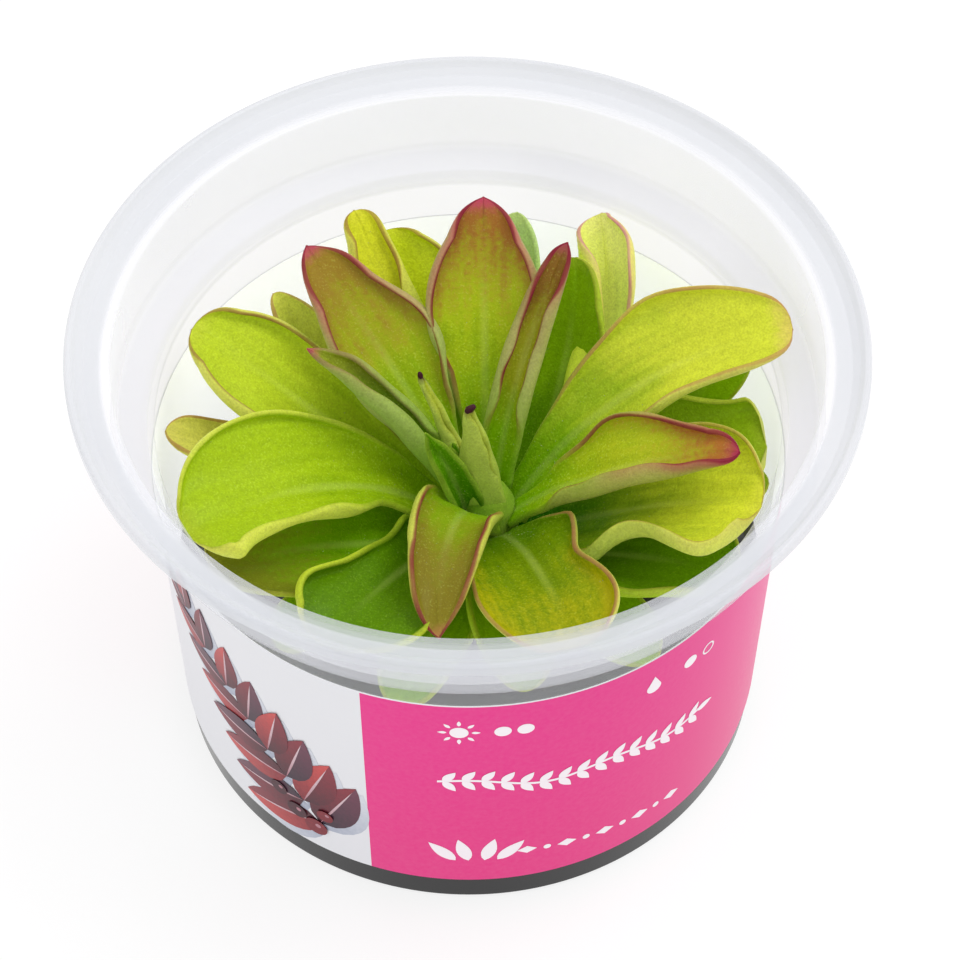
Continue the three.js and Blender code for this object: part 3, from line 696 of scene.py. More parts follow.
class Blade:
    """The rows of one blade: shares t of its length, and what holds for a whole row."""

    def __init__(self, leaf, seed):
        self.leaf = leaf
        self.draw = np.random.default_rng(seed)
        crowded = 1 - (1 - np.linspace(0, 1, ROWS)) ** ROW_CROWDING
        self.t = np.concatenate([[-FOOT_RUN, -FOOT_RUN / 2], crowded])
        self.zeros = np.zeros_like(self.t)
        self.centre, self.side, self.up = blade_frame(leaf, self.t)
        self.width = half_width(leaf, self.t)
        self.trough = math.radians(leaf["trough"]) / (self.width if leaf["cone"] else leaf["half_width"])
        eased = np.clip(self.t / ROLL_BEGINS, 0, 1)
        self.rolled = eased * eased * (3 - 2 * eased)
        self.closing = np.sqrt(np.clip((CLOSED_AT - self.t) / TIP_RUN, 0, 1))
        self.cap = np.minimum(self.thickness(self.width) / 2, 0.5 * self.width)

    def thickness(self, from_rib):
        """Thinner towards the tip and the margins, and closing at the tip."""
        share = from_rib / self.leaf["half_width"]
        full = self.leaf["thick"] * (1 - THINNING * np.clip(self.t, 0, 1)) * (1 - THINNING * share ** 2)
        return np.maximum(THINNEST, full) * self.closing

    def outline(self, sign, uneven):
        """How far out the margin lies and how much it is raised, once the leaf's swells are added."""
        span = self.width + UNEVEN_OUTLINE * self.rolled * self.closing * uneven
        raised = self.zeros
        for half_of, at, further, higher, run in self.leaf["swells"]:
            bell = (half_of == sign) * np.exp(-((self.t - at) / run) ** 2) * self.closing
            span, raised = span + further * bell, raised + higher * bell
        return np.maximum(span, TIP_WIDTH), raised

    def dimples(self, place, bumps):
        """Shallow dimples, from two waves that cross each other."""
        waves = [np.sin(across * place + along * self.t + bump)
                 for across, along, bump in zip(DIMPLES_ACROSS, DIMPLES_ALONG, bumps)]
        return DIMPLE * self.rolled * self.closing * waves[0] * waves[1]

    def half(self, sign, roll, wide, wave, phase):
        """The spots across one half, from the midrib out. sign is 1 for the left half, -1 for the right."""
        leaf, t = self.leaf, self.t
        bumps = self.draw.uniform(0, 2 * math.pi, len(SWING_RATES))
        uneven = sum(np.sin(rate * t + bump) for rate, bump in zip(SWING_RATES, bumps)) / len(SWING_RATES)
        span, raised = self.outline(sign, uneven)
        roll_width = leaf["roll_width"] * wide
        band = np.minimum(roll_width, leaf["roll_share"] * span)
        curl = self.rolled * math.radians(roll) / roll_width * (1 + ROLL_SWING * uneven)
        flat_width = span - band

        def angle_at(q):
            keel = math.radians(leaf["keel"]) * np.minimum(1, q / KEEL_WIDTH)
            return keel + self.trough * q + curl * np.maximum(0, q - flat_width)

        places = [flat_width * i / CENTRE_STEPS for i in range(1, CENTRE_STEPS + 1)]
        places += [flat_width + (band - self.cap) * i / ROLL_STEPS for i in range(1, ROLL_STEPS + 1)]
        across = lift = start = self.zeros
        spots = []
        for place in places:
            piece = (place - start) / ARC_STEPS
            for k in range(ARC_STEPS):
                angle = angle_at(start + (k + 0.5) * piece)
                across = across + np.cos(angle) * piece
                lift = lift + np.sin(angle) * piece
            start = place
            share = place / leaf["half_width"]
            ripple = wave * share ** 2 * np.sin(2 * math.pi * (leaf["waves"] * t + phase))
            ripple = ripple + (UNEVENNESS * self.rolled * uneven + raised) * share ** 2
            ripple = ripple + self.dimples(sign * place, bumps)
            spots.append(Spot(sign * across, lift + ripple, sign * angle_at(place), place, span - place))
        return spots

    def place(self, spot, sign, towards, outwards):
        """A spot's place in mm. towards is 1 for the upper face and -1 for the lower one."""
        thick = self.thickness(spot.from_rib) / 2
        sine, cosine = np.sin(spot.angle), np.cos(spot.angle)
        a = spot.across - towards * sine * thick + outwards * self.cap * (sign * cosine)
        b = spot.lift + towards * cosine * thick + outwards * self.cap * (sign * sine)
        return self.centre + self.side * a[:, None] + self.up * b[:, None]


print("points across a half:", CENTRE_STEPS + ROLL_STEPS)

# %% Rings round a blade
MARGIN_STEPS = 3
RIB_GROOVE, GROOVE_BEGINS = 0.16, 1 / 6
WAVE_SHIFT = 0.37


def blade_rings(leaf, seed):
    """Rings of points round the blade, row by row, in mm, with what the skin reads at each point."""
    blade = Blade(leaf, seed)
    t = blade.t
    right = blade.half(-1, leaf["roll_right"], leaf["wide_right"], leaf["wave_right"],
                       leaf["phase"] + WAVE_SHIFT)[::-1]
    left = blade.half(1, leaf["roll_left"], leaf["wide_left"], leaf["wave_left"], leaf["phase"])
    groove = -RIB_GROOVE * np.clip(t / GROOVE_BEGINS, 0, 1) * (1 - np.clip(t, 0, 1))
    rib = Spot(blade.zeros, groove, blade.zeros, blade.zeros, blade.width)
    line = [*right, rib, *left]
    signs = [-1] * len(right) + [1] + [1] * len(left)

    # A station is a spot, its half, the ways to a face and out past the margin, and the underside's share
    turns = [k / (MARGIN_STEPS + 1) for k in range(1, MARGIN_STEPS + 1)]
    ways = [(math.cos(math.pi * turn), math.sin(math.pi * turn)) for turn in turns]
    stations = [(spot, sign, 1, 0, 0.0) for spot, sign in zip(line, signs)]
    stations += [(line[-1], 1, over, out, turn) for (over, out), turn in zip(ways, turns)]
    stations += [(spot, sign, -1, 0, 1.0) for spot, sign in zip(line[::-1], signs[::-1])]
    stations += [(line[0], -1, -over, out, 1 - turn) for (over, out), turn in zip(ways, turns)]

    rings = [blade.place(spot, sign, towards, outwards) for spot, sign, towards, outwards, _ in stations]
    values = {"along": [np.clip(t, 0, 1)] * len(stations),
              "across": [sign * spot.from_rib for spot, sign, *_ in stations],
              "edge": [blade.zeros if outwards else spot.to_edge for spot, _, _, outwards, _ in stations],
              "under": [np.full_like(t, under) for *_, under in stations]}
    stacked = {key: np.stack(found, axis=1) for key, found in values.items()}
    return np.stack(rings, axis=1), stacked, len(line)


ring_points = blade_rings({**PLAIN_LEAF, **LEAVES["leaf_outer_1"]}, 1)[0].shape[1]
print("points in a ring:", ring_points)


# %% A blade as a mesh
# Two smaller rings past the end round the tip off. Each is (how far past it in mm, how small).
TIP_RINGS = ((0.05, 0.7), (0.08, 0.35))
TIP_POINT = 0.02


def ring_faces(rows, around):
    """Four-sided faces between rings, and fans from one point past each end."""
    faces = []
    for i in range(rows - 1):
        for j in range(around):
            a, b = i * around + j, i * around + (j + 1) % around
            faces.append((a, a + around, b + around, b))
    foot, tip = rows * around, rows * around + 1
    last = (rows - 1) * around
    for j in range(around):
        k = (j + 1) % around
        faces.append((foot, j, k))
        faces.append((tip, last + k, last + j))
    return faces


def blade_mesh(name, leaf, seed):
    """A blade as one closed mesh with a rounded tip, and the grid of its upper face with its values."""
    rings, values, face_points = blade_rings(leaf, seed)
    ahead = unit(midrib(leaf, np.array([1.0])) - midrib(leaf, np.array([0.99])))[0]
    middle = rings[-1].mean(axis=0)
    tips = [middle + (rings[-1] - middle) * size + ahead * past for past, size in TIP_RINGS]
    rings = np.concatenate([rings, tips])
    values = {key: np.concatenate([found, found[-1:], found[-1:]]) for key, found in values.items()}
    points = rings.reshape(-1, 3) * MM
    ends = np.array([rings[0].mean(axis=0), rings[-1].mean(axis=0) + ahead * TIP_POINT]) * MM
    mesh = plain_mesh(name, np.concatenate([points, ends]), ring_faces(*rings.shape[:2]))
    for key, found in values.items():
        flat = np.concatenate([found.ravel(), found[0, :1], found[-1, :1]])
        mesh.attributes.new(key, "FLOAT", "POINT").data.foreach_set("value", flat.astype(np.float32))
    mesh.shade_smooth()
    upper_values = {key: found[:, :face_points] for key, found in values.items()}
    return mesh, rings[:, :face_points] * MM, upper_values


def volume_of(mesh):
    """Signed volume in cubic millimetres: above zero where the faces point outwards."""
    mesh.calc_loop_triangles()
    corners = np.empty(len(mesh.loop_triangles) * 3, np.int32)
    mesh.loop_triangles.foreach_get("vertices", corners)
    places = np.empty(len(mesh.vertices) * 3)
    mesh.vertices.foreach_get("co", places)
    a, b, c = places.reshape(-1, 3)[corners.reshape(-1, 3)].transpose(1, 0, 2)
    return float(np.einsum("ij,ij->i", a, np.cross(b, c)).sum()) / 6 / MM ** 3


test_mesh, _, _ = blade_mesh("trial", {**PLAIN_LEAF, **LEAVES["leaf_outer_1"]}, 1)
print("a trial blade has", len(test_mesh.polygons), "faces and", round(volume_of(test_mesh)), "cubic mm")
bpy.data.meshes.remove(test_mesh)

# %% [markdown]
# ## Colours of the leaves
# The inner leaves are flushed and have strong purple margins, the broad outer ones are lime with a thin
# brownish margin, and the low ones stand in the shade of the others: their darker greens are painted shade.

# %% Tones
FLUSHED = {"Fresh": (172, 192, 24), "Deep": (122, 172, 0), "Flush": (156, 76, 46),
    "Margin": (126, 30, 50), "Outside": (172, 180, 104), "Band": (184, 60, 96), "Blush": 0.75,
    "Deep Reach": 0.6, "Flush From": 0.5, "Flush Amount": 0.85, "Margin Width": 0.3, "Margin Amount": 1.0,
    "Tip Amount": 0.9, "Speckle": 0.3}
# Tones of leaves that stand under others: their darker greens are painted shade.
SHADED_LOW_TONES = {"Fresh": (130, 172, 4), "Deep": (84, 132, 0), "Outside": (160, 190, 40), "Margin Amount": 0.25}
TONES = {
    "leaf_inner_1": FLUSHED,
    "leaf_inner_2": {**FLUSHED, "Fresh": (162, 178, 24), "Flush": (146, 96, 44), "Flush From": 0.4,
        "Flush Amount": 0.75, "Blush": 0.8},
    "leaf_inner_3": {**FLUSHED, "Fresh": (160, 164, 30), "Flush": (122, 72, 34),
        "Outside": (166, 172, 96), "Band": (156, 62, 80), "Blush": 0.6, "Flush From": 0.5},
    "leaf_inner_4": {**FLUSHED, "Fresh": (118, 150, 20), "Outside": (148, 170, 82), "Flush Amount": 0.2,
        "Blush": 0.15, "Margin": (140, 90, 84), "Margin Amount": 0.4},
    "leaf_inner_5": {**FLUSHED, "Fresh": (176, 190, 30), "Flush": (168, 106, 44),
        "Outside": (170, 172, 84), "Band": (160, 40, 78), "Flush From": 0.54, "Flush Amount": 1.0},
    "leaf_inner_6": {**FLUSHED, "Fresh": (134, 148, 24), "Flush": (122, 96, 32),
        "Outside": (196, 202, 84), "Band": (170, 120, 70), "Blush": 0.3, "Flush From": 0.3,
        "Flush Amount": 0.7},
    "leaf_outer_1": {"Fresh": (204, 212, 56), "Margin": (166, 92, 78), "Band": (216, 150, 130),
        "Blush": 0.25, "Tip Amount": 0.35},
    "leaf_outer_2": {"Fresh": (182, 202, 40), "Deep": (138, 182, 2), "Margin": (134, 70, 56),
        "Margin Amount": 0.85, "Band": (206, 160, 96)},
    "leaf_outer_3": {"Fresh": (160, 188, 20), "Deep": (118, 158, 2), "Outside": (206, 218, 80),
        "Margin Amount": 0.1, "Blush": 0.1, "Speckle": 0.26},
    # The next three leaves are overhung by others: their darker greens, reaching far along them, are
    # painted shade.
    "leaf_outer_4": {"Fresh": (208, 216, 48), "Deep": (44, 118, 0), "Deep Reach": 1.1,
        "Margin": (150, 100, 56)},
    "leaf_outer_5": {"Fresh": (132, 150, 0), "Deep": (72, 114, 0), "Flush": (206, 180, 20),
        "Deep Reach": 1.1, "Flush Amount": 0.45, "Flush From": 0.6, "Margin": (150, 90, 66),
        "Margin Amount": 0.9},
    "leaf_outer_6": {"Fresh": (88, 130, 0), "Deep": (62, 110, 0), "Outside": (186, 204, 50),
        "Margin Amount": 0.1, "Blush": 0.05},
    "leaf_outer_7": {"Fresh": (228, 234, 122), "Deep": (158, 194, 20), "Outside": (224, 238, 74),
        "Margin": (196, 120, 136), "Band": (220, 160, 156), "Deep Reach": 1.0, "Blush": 0.5,
        "Margin Amount": 0.9},
    "leaf_outer_9": {**SHADED_LOW_TONES, "Fresh": (124, 176, 0), "Flush": (110, 84, 30), "Flush Amount": 0.7,
        "Flush From": 0.4},
    "leaf_outer_10": SHADED_LOW_TONES,
    "leaf_outer_11": {"Fresh": (206, 210, 40), "Outside": (210, 216, 84)},
    "leaf_outer_12": {"Fresh": (150, 184, 24), "Deep": (124, 164, 8), "Outside": (196, 212, 70),
        "Margin Amount": 0.15, "Blush": 0.1},
    "leaf_outer_13": {**SHADED_LOW_TONES, "Fresh": (100, 144, 4), "Deep": (62, 108, 0)},
    "leaf_low_2": {"Fresh": (198, 206, 78), "Deep": (150, 176, 36), "Margin": (160, 96, 80)},
    "leaf_low_3": {"Fresh": (196, 194, 84), "Deep": (130, 150, 40), "Margin": (150, 88, 60)},
    "leaf_low_4": {"Fresh": (176, 206, 124), "Outside": (186, 212, 136), "Margin Amount": 0.0,
        "Blush": 0.0},
}
HEART_TONES = {"Fresh": (176, 190, 50), "Deep": (120, 166, 2), "Margin": (120, 90, 50),
    "Outside": (178, 194, 84), "Band": (70, 30, 46), "Blush": 0.0, "Deep Reach": 0.5,
    "Margin Amount": 0.2, "Tip From": 0.93, "Tip Amount": 1.0, "Speckle": 0.3}
# Two young leaves sit deep in the heart: their darker greens are painted shade, and their tips aren't dark.
SHADED_YOUNG_ONES = ("heart_leaf_2", "heart_leaf_4")
SHADED_HEART_TONES = {**HEART_TONES, "Fresh": (84, 140, 0), "Deep": (44, 96, 0), "Outside": (156, 186, 60),
    "Tip Amount": 0.0}
print("leaves with tones of their own:", len(TONES))

# %% The leaves
scatter_faces = {"inner": [], "outer": [], "low": []}


def make_blade(name, leaf, seed, tones, slot, *nodes):
    mesh, faces, values = blade_mesh(name, leaf, seed)
    mesh.materials.append(leaf_material(name, tones))
    if volume_of(mesh) < 0:
        mesh.flip_normals()
    keep(new_object(name + "_blade", mesh), slot, *nodes)
    return faces, values


for number, (name, entry) in enumerate(LEAVES.items()):
    layer = name.split("_")[1]
    tones = TONES.get(name, SHADED_LOW_TONES if layer == "low" else {})
    found = make_blade(name, {**PLAIN_LEAF, **entry}, number, tones, "leaf_" + layer, name)
    scatter_faces[layer].append(found)
for number, (name, entry) in enumerate(YOUNG_LEAVES.items(), len(LEAVES)):
    tones = SHADED_HEART_TONES if name in SHADED_YOUNG_ONES else HEART_TONES
    found = make_blade(name, {**PLAIN_LEAF, **YOUNG_LEAF, **entry}, number, tones, "heart", "crown")
    scatter_faces["inner"].append(found)

# %% [markdown]
# ## Glands
# The glands of a butterwort stand on hair-fine stalks and carry a drop of glue each. From an arm's length
# only the drops show, as tiny bright points that are thickest near the foot of each leaf. A tree of
# geometry nodes scatters them: points are drawn on the upper faces by a density that the faces carry, and
# a small ball of 20 faces stands on each.


# %% Scattered drops
def build_scatter_tree():
    tree, g, given, out = geometry_tree("scattered_drops", {
        "Density": "value", "Smallest": "value", "Largest": "value", "Seed": "count",
        "Material": "material"})
    weight = g.add("GeometryNodeInputNamedAttribute", {"Name": "density"}).outputs[0]
    points = g.add("GeometryNodeDistributePointsOnFaces", {
        "Mesh": given["Geometry"], "Density": g.times(weight, given["Density"]), "Seed": given["Seed"]})
    ball = g.add("GeometryNodeMeshIcoSphere", {"Radius": 1.0, "Subdivisions": 1})
    size = g.add("FunctionNodeRandomValue", {
        2: given["Smallest"], 3: given["Largest"], "Seed": given["Seed"]}, data_type="FLOAT")
    drops = g.add("GeometryNodeInstanceOnPoints", {
        "Points": points.outputs[0], "Instance": ball.outputs["Mesh"], "Scale": size.outputs[1]})
    end_tree(g, out, drops.outputs[0], given["Material"])
    return tree


SCATTER = build_scatter_tree()


def scatter_source(name, sheets, density):
    """Grids of points as one sheet for the scatter tree. density gives each grid its weights."""
    points, faces, weights = [], [], []
    for grid, values in sheets:
        rows, columns = grid.shape[:2]
        start = sum(len(part) for part in points)
        points.append(grid.reshape(-1, 3))
        weights.append(density(values).ravel())
        for i in range(rows - 1):
            for j in range(columns - 1):
                a = start + i * columns + j
                faces.append((a, a + columns, a + columns + 1, a + 1))
    source = new_object(name, plain_mesh(name, np.concatenate(points), faces))
    data = source.data.attributes.new("density", "FLOAT", "POINT").data
    data.foreach_set("value", np.concatenate(weights).astype(np.float32))
    return source


print("scatter tree nodes:", len(SCATTER.nodes))


# %% Glue drops on the upper faces
def build_glue():
    tree, g, given, out = shader_group("drop_finish", {"Tint": "colour"})
    cloud = g.noise(given["Place"], 500.0)
    colour = g.mix(g.times(cloud, 0.5), given["Tint"], PURE_WHITE)
    give_surface(g, out, colour, g.plus(0.08, g.times(cloud, 0.1)), cloud)
    return tree


glue = material_with("glue", build_glue(), {"Tint": srgb((226, 236, 150))}, {"Alpha": 0.32, "IOR": 1.35},
                     bump=0.05)[0]
GLANDS_PER_SQUARE_METRE = 0.9e6
SMALLEST_DROP, LARGEST_DROP = 0.04 * MM, 0.09 * MM
LEAST_SHARE, MARGIN_FADE = 0.02, 1.5


def gland_weight(values):
    """Thick at the foot, thinner towards the tip, and fading out just before the margin."""
    towards_foot = LEAST_SHARE + (1 - LEAST_SHARE) * (1 - values["along"]) ** 3
    return towards_foot * np.clip(values["edge"] / MARGIN_FADE, 0, 1)


for seed, (layer, sheets) in enumerate(scatter_faces.items()):
    source = scatter_source("glands_" + layer + "_source", sheets, gland_weight)
    drops = run_tree(source, SCATTER, "glands_" + layer, {
        "Density": GLANDS_PER_SQUARE_METRE, "Smallest": SMALLEST_DROP, "Largest": LARGEST_DROP,
        "Seed": seed, "Material": glue})
    drops.data.shade_smooth()
    keep(drops, "leaf_" + layer)

# %% [markdown]
# ## Rootstock and gel
# The leaves grow from a short thick rootstock that stands in a hole in the gel. Little of either shows, but
# the dark gel gives the plant its ground, and it is what the clear foot of the cup shows under the wrap.

# %% Rootstock
ROOTSTOCK = [(0, 12.3), (3.6, 12.3), (3.6, 25), (4.4, 27), (4.3, 32), (3.7, 35), (2.8, 37), (1.8, 38.3),
             (0, 38.8)]
stock_values = skin_values({**HEART_TONES, "Along": 0.1, "Edge": 9.0})
stock_skin = material_with("rootstock_skin", LEAF_SKIN, stock_values, LEAF_FLESH)[0]
rootstock = turned("rootstock", ROOTSTOCK, stock_skin, corner=1.2, corner_steps=4, steps=40)
rootstock.data.transform(Matrix.Translation((CROWN_X * MM, 0, 0)))
keep(rootstock, "heart", "crown")


# %% Dark tips of the young leaves
def dark_tip(name, leaf_name, shift, axis, radius, length):
    """A small egg-shaped knob on the tip of a young leaf. shift moves it off the tip, in mm."""
    half = length / 2
    egg = [(0, -half), (0.7 * radius, -0.8 * half), (radius, 0), (0.7 * radius, 0.8 * half), (0, half)]
    knob = turned(name, egg, tip_skin, corner=0.3, corner_steps=4, steps=24)
    tip = midrib({**PLAIN_LEAF, **YOUNG_LEAVES[leaf_name]}, np.array([1.0]))[0] + np.array(shift)
    knob.data.transform(Vector(axis).to_track_quat("Z", "Y").to_matrix().to_4x4())
    knob.data.transform(Matrix.Translation(Vector(tip) * MM))
    return keep(knob, "heart", "crown")


tip_skin = material_with("tip_skin", LEAF_SKIN, {**stock_values, "Along": 1.0}, LEAF_FLESH)[0]
dark_tip("heart_tip_1", "heart_leaf_1", (0.35, -0.2, -0.15), (0.6, -0.1, 0.78), 0.5, 2.0)
dark_tip("heart_tip_3", "heart_leaf_3", (0, -0.1, -0.1), (-0.15, 0, 1), 0.38, 1.4)


# %% Gel finish
def build_gel():
    tree, g, given, out = shader_group("gel_finish", {})
    lumps = g.noise(given["Place"], 260.0, 4.0)
    specks = g.less(g.fade(g.cells(given["Place"], 600.0), 0.05, 0.2))
    dark = g.mix(lumps, srgb((38, 36, 38)), srgb((66, 62, 62)))
    colour = g.mix(g.times(specks, 0.3), dark, srgb((110, 92, 66)))
    give_surface(g, out, colour, g.plus(0.22, g.times(lumps, 0.25)), g.plus(lumps, g.times(specks, 0.4)))
    return tree


gel = material_with("dark_gel", build_gel(), {}, {"IOR": 1.36, "Coat Weight": 0.5, "Coat Roughness": 0.08},
                    bump=0.6, bump_depth=0.4 * MM)[0]
print("gel:", gel.name)

# %% Gel with a hole for the rootstock
# The cup's outer radii, the height of its ledge and the thickness of its wall, in mm
WALL_TOP_RADIUS, BASE_RADIUS, LEDGE, WALL = 40.85, 39.4, 55.5, 0.9


def wall_radius(z):
    """Outer radius of the cup's tapered wall at height z, in mm."""
    return BASE_RADIUS + (WALL_TOP_RADIUS - BASE_RADIUS) * z / LEDGE


GEL_TOP, GEL_BOTTOM, GEL_CHAMFER, HOLE_BOTTOM, HOLE_RADIUS = 24, 1.5, 1, 12, 4
# The gel climbs a little at the wall and stays just clear of it.
GEL_CREEP, GEL_CLEARANCE = 0.8, 0.07
# Its flat top has rings of points, which low waves then lift and lower.
GEL_RINGS, GEL_WAVES = (28, 22, 16, 11, 8, 0), 0.5


def cut_away(piece, tool):
    """The piece without the tool's space. The tool is removed."""
    modifier = piece.modifiers.new("cut", "BOOLEAN")
    modifier.operation = "DIFFERENCE"
    modifier.solver = "EXACT"
    modifier.object = tool
    mesh = bpy.data.meshes.new_from_object(piece.evaluated_get(bpy.context.evaluated_depsgraph_get()))
    piece.modifiers.clear()
    piece.data = mesh
    bpy.data.objects.remove(tool)
    return piece


side_bottom, side_top, top_radius = GEL_BOTTOM + GEL_CHAMFER, GEL_TOP + GEL_CREEP, wall_radius(GEL_TOP)
inset = WALL + GEL_CLEARANCE
medium = turned("growing_medium_gel", [
    (0, GEL_BOTTOM), (wall_radius(side_bottom) - 2, GEL_BOTTOM),
    (wall_radius(side_bottom) - inset, side_bottom), (wall_radius(side_top) - inset, side_top),
    (top_radius - 1.7, GEL_TOP + GEL_CREEP / 2), (top_radius - 2.6, GEL_TOP), (top_radius - 9, GEL_TOP),
    *((ring, GEL_TOP) for ring in GEL_RINGS)], gel, corner=0.4, corner_steps=3, steps=96)
drill = turned("drill", [(0, HOLE_BOTTOM), (HOLE_RADIUS, HOLE_BOTTOM), (HOLE_RADIUS, GEL_TOP + 5),
                         (0, GEL_TOP + 5)], gel, steps=40)
drill.data.transform(Matrix.Translation((CROWN_X * MM, 0, 0)))
medium = cut_away(medium, drill)
for vertex in medium.data.vertices:
    x, y, z = vertex.co / MM
    if z > GEL_TOP - 0.1 and math.hypot(x, y) < top_radius - 3:
        waves = math.sin(x * 0.45 + 1) * math.sin(y * 0.5) + 0.6 * math.sin(x * 1.1 + y * 0.8)
        vertex.co.z += waves * GEL_WAVES * MM
keep(medium, "growing_medium", "growing_medium")

# %% [markdown]
# ## The cup
# Cups of this kind are pressed from one thin sheet: a slightly tapered wall, a ledge, a straight collar and
# a wide flange with a raised rim. The plastic is clear but a little milky, most of all in the collar and
# the flange, where it stays thickest. Thin plastic hardly bends light, so alpha that depends on the place
# shows it well: the light that isn't scattered passes straight through, and grazing looks meet more of it.


# %% Milky plastic
# Where one zone of the cup fades into the next, as heights and radii in mm
COLLAR_FADE, LEDGE_FADE, FOOT_FADE = (53.4, 54.4), (56.2, 57.0), (5.0, 5.6)
FLANGE_FADE, RIM_FADE, FOOT_RING_FADE = (45.3, 46.0), (48.2, 49.4), (36.0, 37.0)
ZONES = ("Wall", "Collar", "Ledge", "Flange", "Rim", "Foot")


def build_plastic():
    tree, g, given, out = shader_group("milky_plastic", {
        **{zone + " Haze": "value" for zone in ZONES},
        **dict.fromkeys(("Tint", "Ledge Tint", "Thick Tint", "Foot Tint"), "colour")}, ["Haze"])
    at = g.split(given["Place"])
    radius = g.math("SQRT", g.plus(g.math("POWER", at["X"], 2.0), g.math("POWER", at["Y"], 2.0)))

    def past(value, limits):
        return g.fade(value, limits[0] * MM, limits[1] * MM)

    collar = past(at["Z"], COLLAR_FADE)
    ledge = g.times(collar, g.less(past(at["Z"], LEDGE_FADE)))
    flange = g.times(past(radius, FLANGE_FADE), collar)
    rim = g.times(past(radius, RIM_FADE), collar)
    foot = g.times(g.less(past(at["Z"], FOOT_FADE)), past(radius, FOOT_RING_FADE))
    smears = g.noise(given["Place"], 45.0, 1.0)
    haze = given["Wall Haze"]
    for share, zone in ((collar, "Collar"), (ledge, "Ledge"), (flange, "Flange"), (rim, "Rim")):
        haze = g.mix_values(share, haze, given[zone + " Haze"])
    haze = g.times(haze, g.plus(1.0, g.swing(smears, 0.5)))
    g.put(out.inputs["Haze"], g.math("MAXIMUM", haze, g.times(foot, given["Foot Haze"])))
    tint = g.mix(flange, g.mix(ledge, given["Tint"], given["Ledge Tint"]), given["Thick Tint"])
    give_surface(g, out, g.mix(foot, tint, given["Foot Tint"]), g.plus(0.2, g.swing(smears, 0.2)), smears)
    return tree


# Milky plastic hands on light from all round. A faint glow of its own tint stands for that.
MILKY_GLOW = 0.22
GRAZING_BLEND, GRAZING_SHARE = 0.35, 0.5
plastic, graph, shader, effect = material_with(
    "clear_plastic", build_plastic(),
    {"Wall Haze": 0.11, "Ledge Haze": 0.28, "Collar Haze": 0.25, "Flange Haze": 0.5, "Rim Haze": 0.47,
     "Foot Haze": 1.0, "Tint": srgb((227, 228, 234)), "Ledge Tint": srgb((200, 201, 207)),
     "Thick Tint": srgb((205, 207, 212)), "Foot Tint": srgb((9, 8, 10))},
    {"IOR": 1.49, "Specular IOR Level": 0.25, "Emission Strength": MILKY_GLOW},
    bump=0.15, bump_depth=0.3 * MM)
graph.put(shader.inputs["Emission Color"], effect.outputs["Color"])
glow_by_itself(plastic)
grazing = graph.add("ShaderNodeLayerWeight", {"Blend": GRAZING_BLEND}).outputs["Fresnel"]
from_outside = graph.less(graph.add("ShaderNodeNewGeometry").outputs["Backfacing"])
gleam = graph.times(grazing, from_outside, GRAZING_SHARE)
graph.put(shader.inputs["Alpha"], graph.plus(effect.outputs["Haze"], gleam, clamp=True))
print("plastic:", plastic.name)

# %% Cup
RIM_RADIUS, RIM_TOP = (value / MM for value in (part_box("cup")[1].x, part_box("cup")[1].z))
COLLAR_RADIUS, FLANGE_TOP = 45.3, 66.5
FLOOR, RIM_THICK, FLANGE_THICK = 1.2, 0.9, 0.9
RIM_INNER, COLLAR_INNER = RIM_RADIUS - RIM_THICK, COLLAR_RADIUS - WALL
FLANGE_UNDER = FLANGE_TOP - FLANGE_THICK
CUP_OUTSIDE = [
    (0, 0), (BASE_RADIUS - 0.5, 0), (wall_radius(0.5), 0.5), (wall_radius(LEDGE - 1.6), LEDGE - 1.6),
    (WALL_TOP_RADIUS + 0.8, LEDGE - 0.7), (COLLAR_RADIUS - 0.6, LEDGE), (COLLAR_RADIUS, LEDGE + 0.6),
    (COLLAR_RADIUS, FLANGE_UNDER - 0.5), (COLLAR_RADIUS + 0.6, FLANGE_UNDER),
    (RIM_RADIUS - 1, FLANGE_UNDER),
    (RIM_RADIUS, FLANGE_TOP), (RIM_RADIUS, RIM_TOP - 0.4), (RIM_RADIUS - 0.4, RIM_TOP),
    (RIM_INNER, RIM_TOP - 0.2), (RIM_INNER - 0.5, RIM_TOP - 1), (RIM_INNER - 1.4, FLANGE_TOP),
]
CUP_INSIDE = [
    (COLLAR_INNER + 0.4, FLANGE_TOP), (COLLAR_INNER, FLANGE_TOP - 0.4), (COLLAR_INNER, LEDGE + WALL + 0.3),
    (COLLAR_INNER - 0.6, LEDGE + WALL - 0.2), (WALL_TOP_RADIUS - 0.1, LEDGE + 0.2),
    (wall_radius(LEDGE - 1) - WALL, LEDGE - 1), (wall_radius(FLOOR + 1) - WALL, FLOOR + 1),
    (BASE_RADIUS - WALL - 1, FLOOR), (0, FLOOR),
]
cup = turned("cup_plastic", CUP_OUTSIDE + CUP_INSIDE, plastic, corner=0.35, corner_steps=4)
keep(cup, "clear_cup", "cup")

# %% [markdown]
# ## The printed wrap
# A film is wrapped round the tapered wall. It is pink, with a white panel for a picture and marks in white
# ink. Seen from inside, through the clear wall, its back is white. One shader group serves film and ink: a
# tint that goes over into a darker painted shade towards the foot, with a fine grain.

# %% Film and ink
SHADE_FROM, SHADE_TO = 47 * MM, 5 * MM


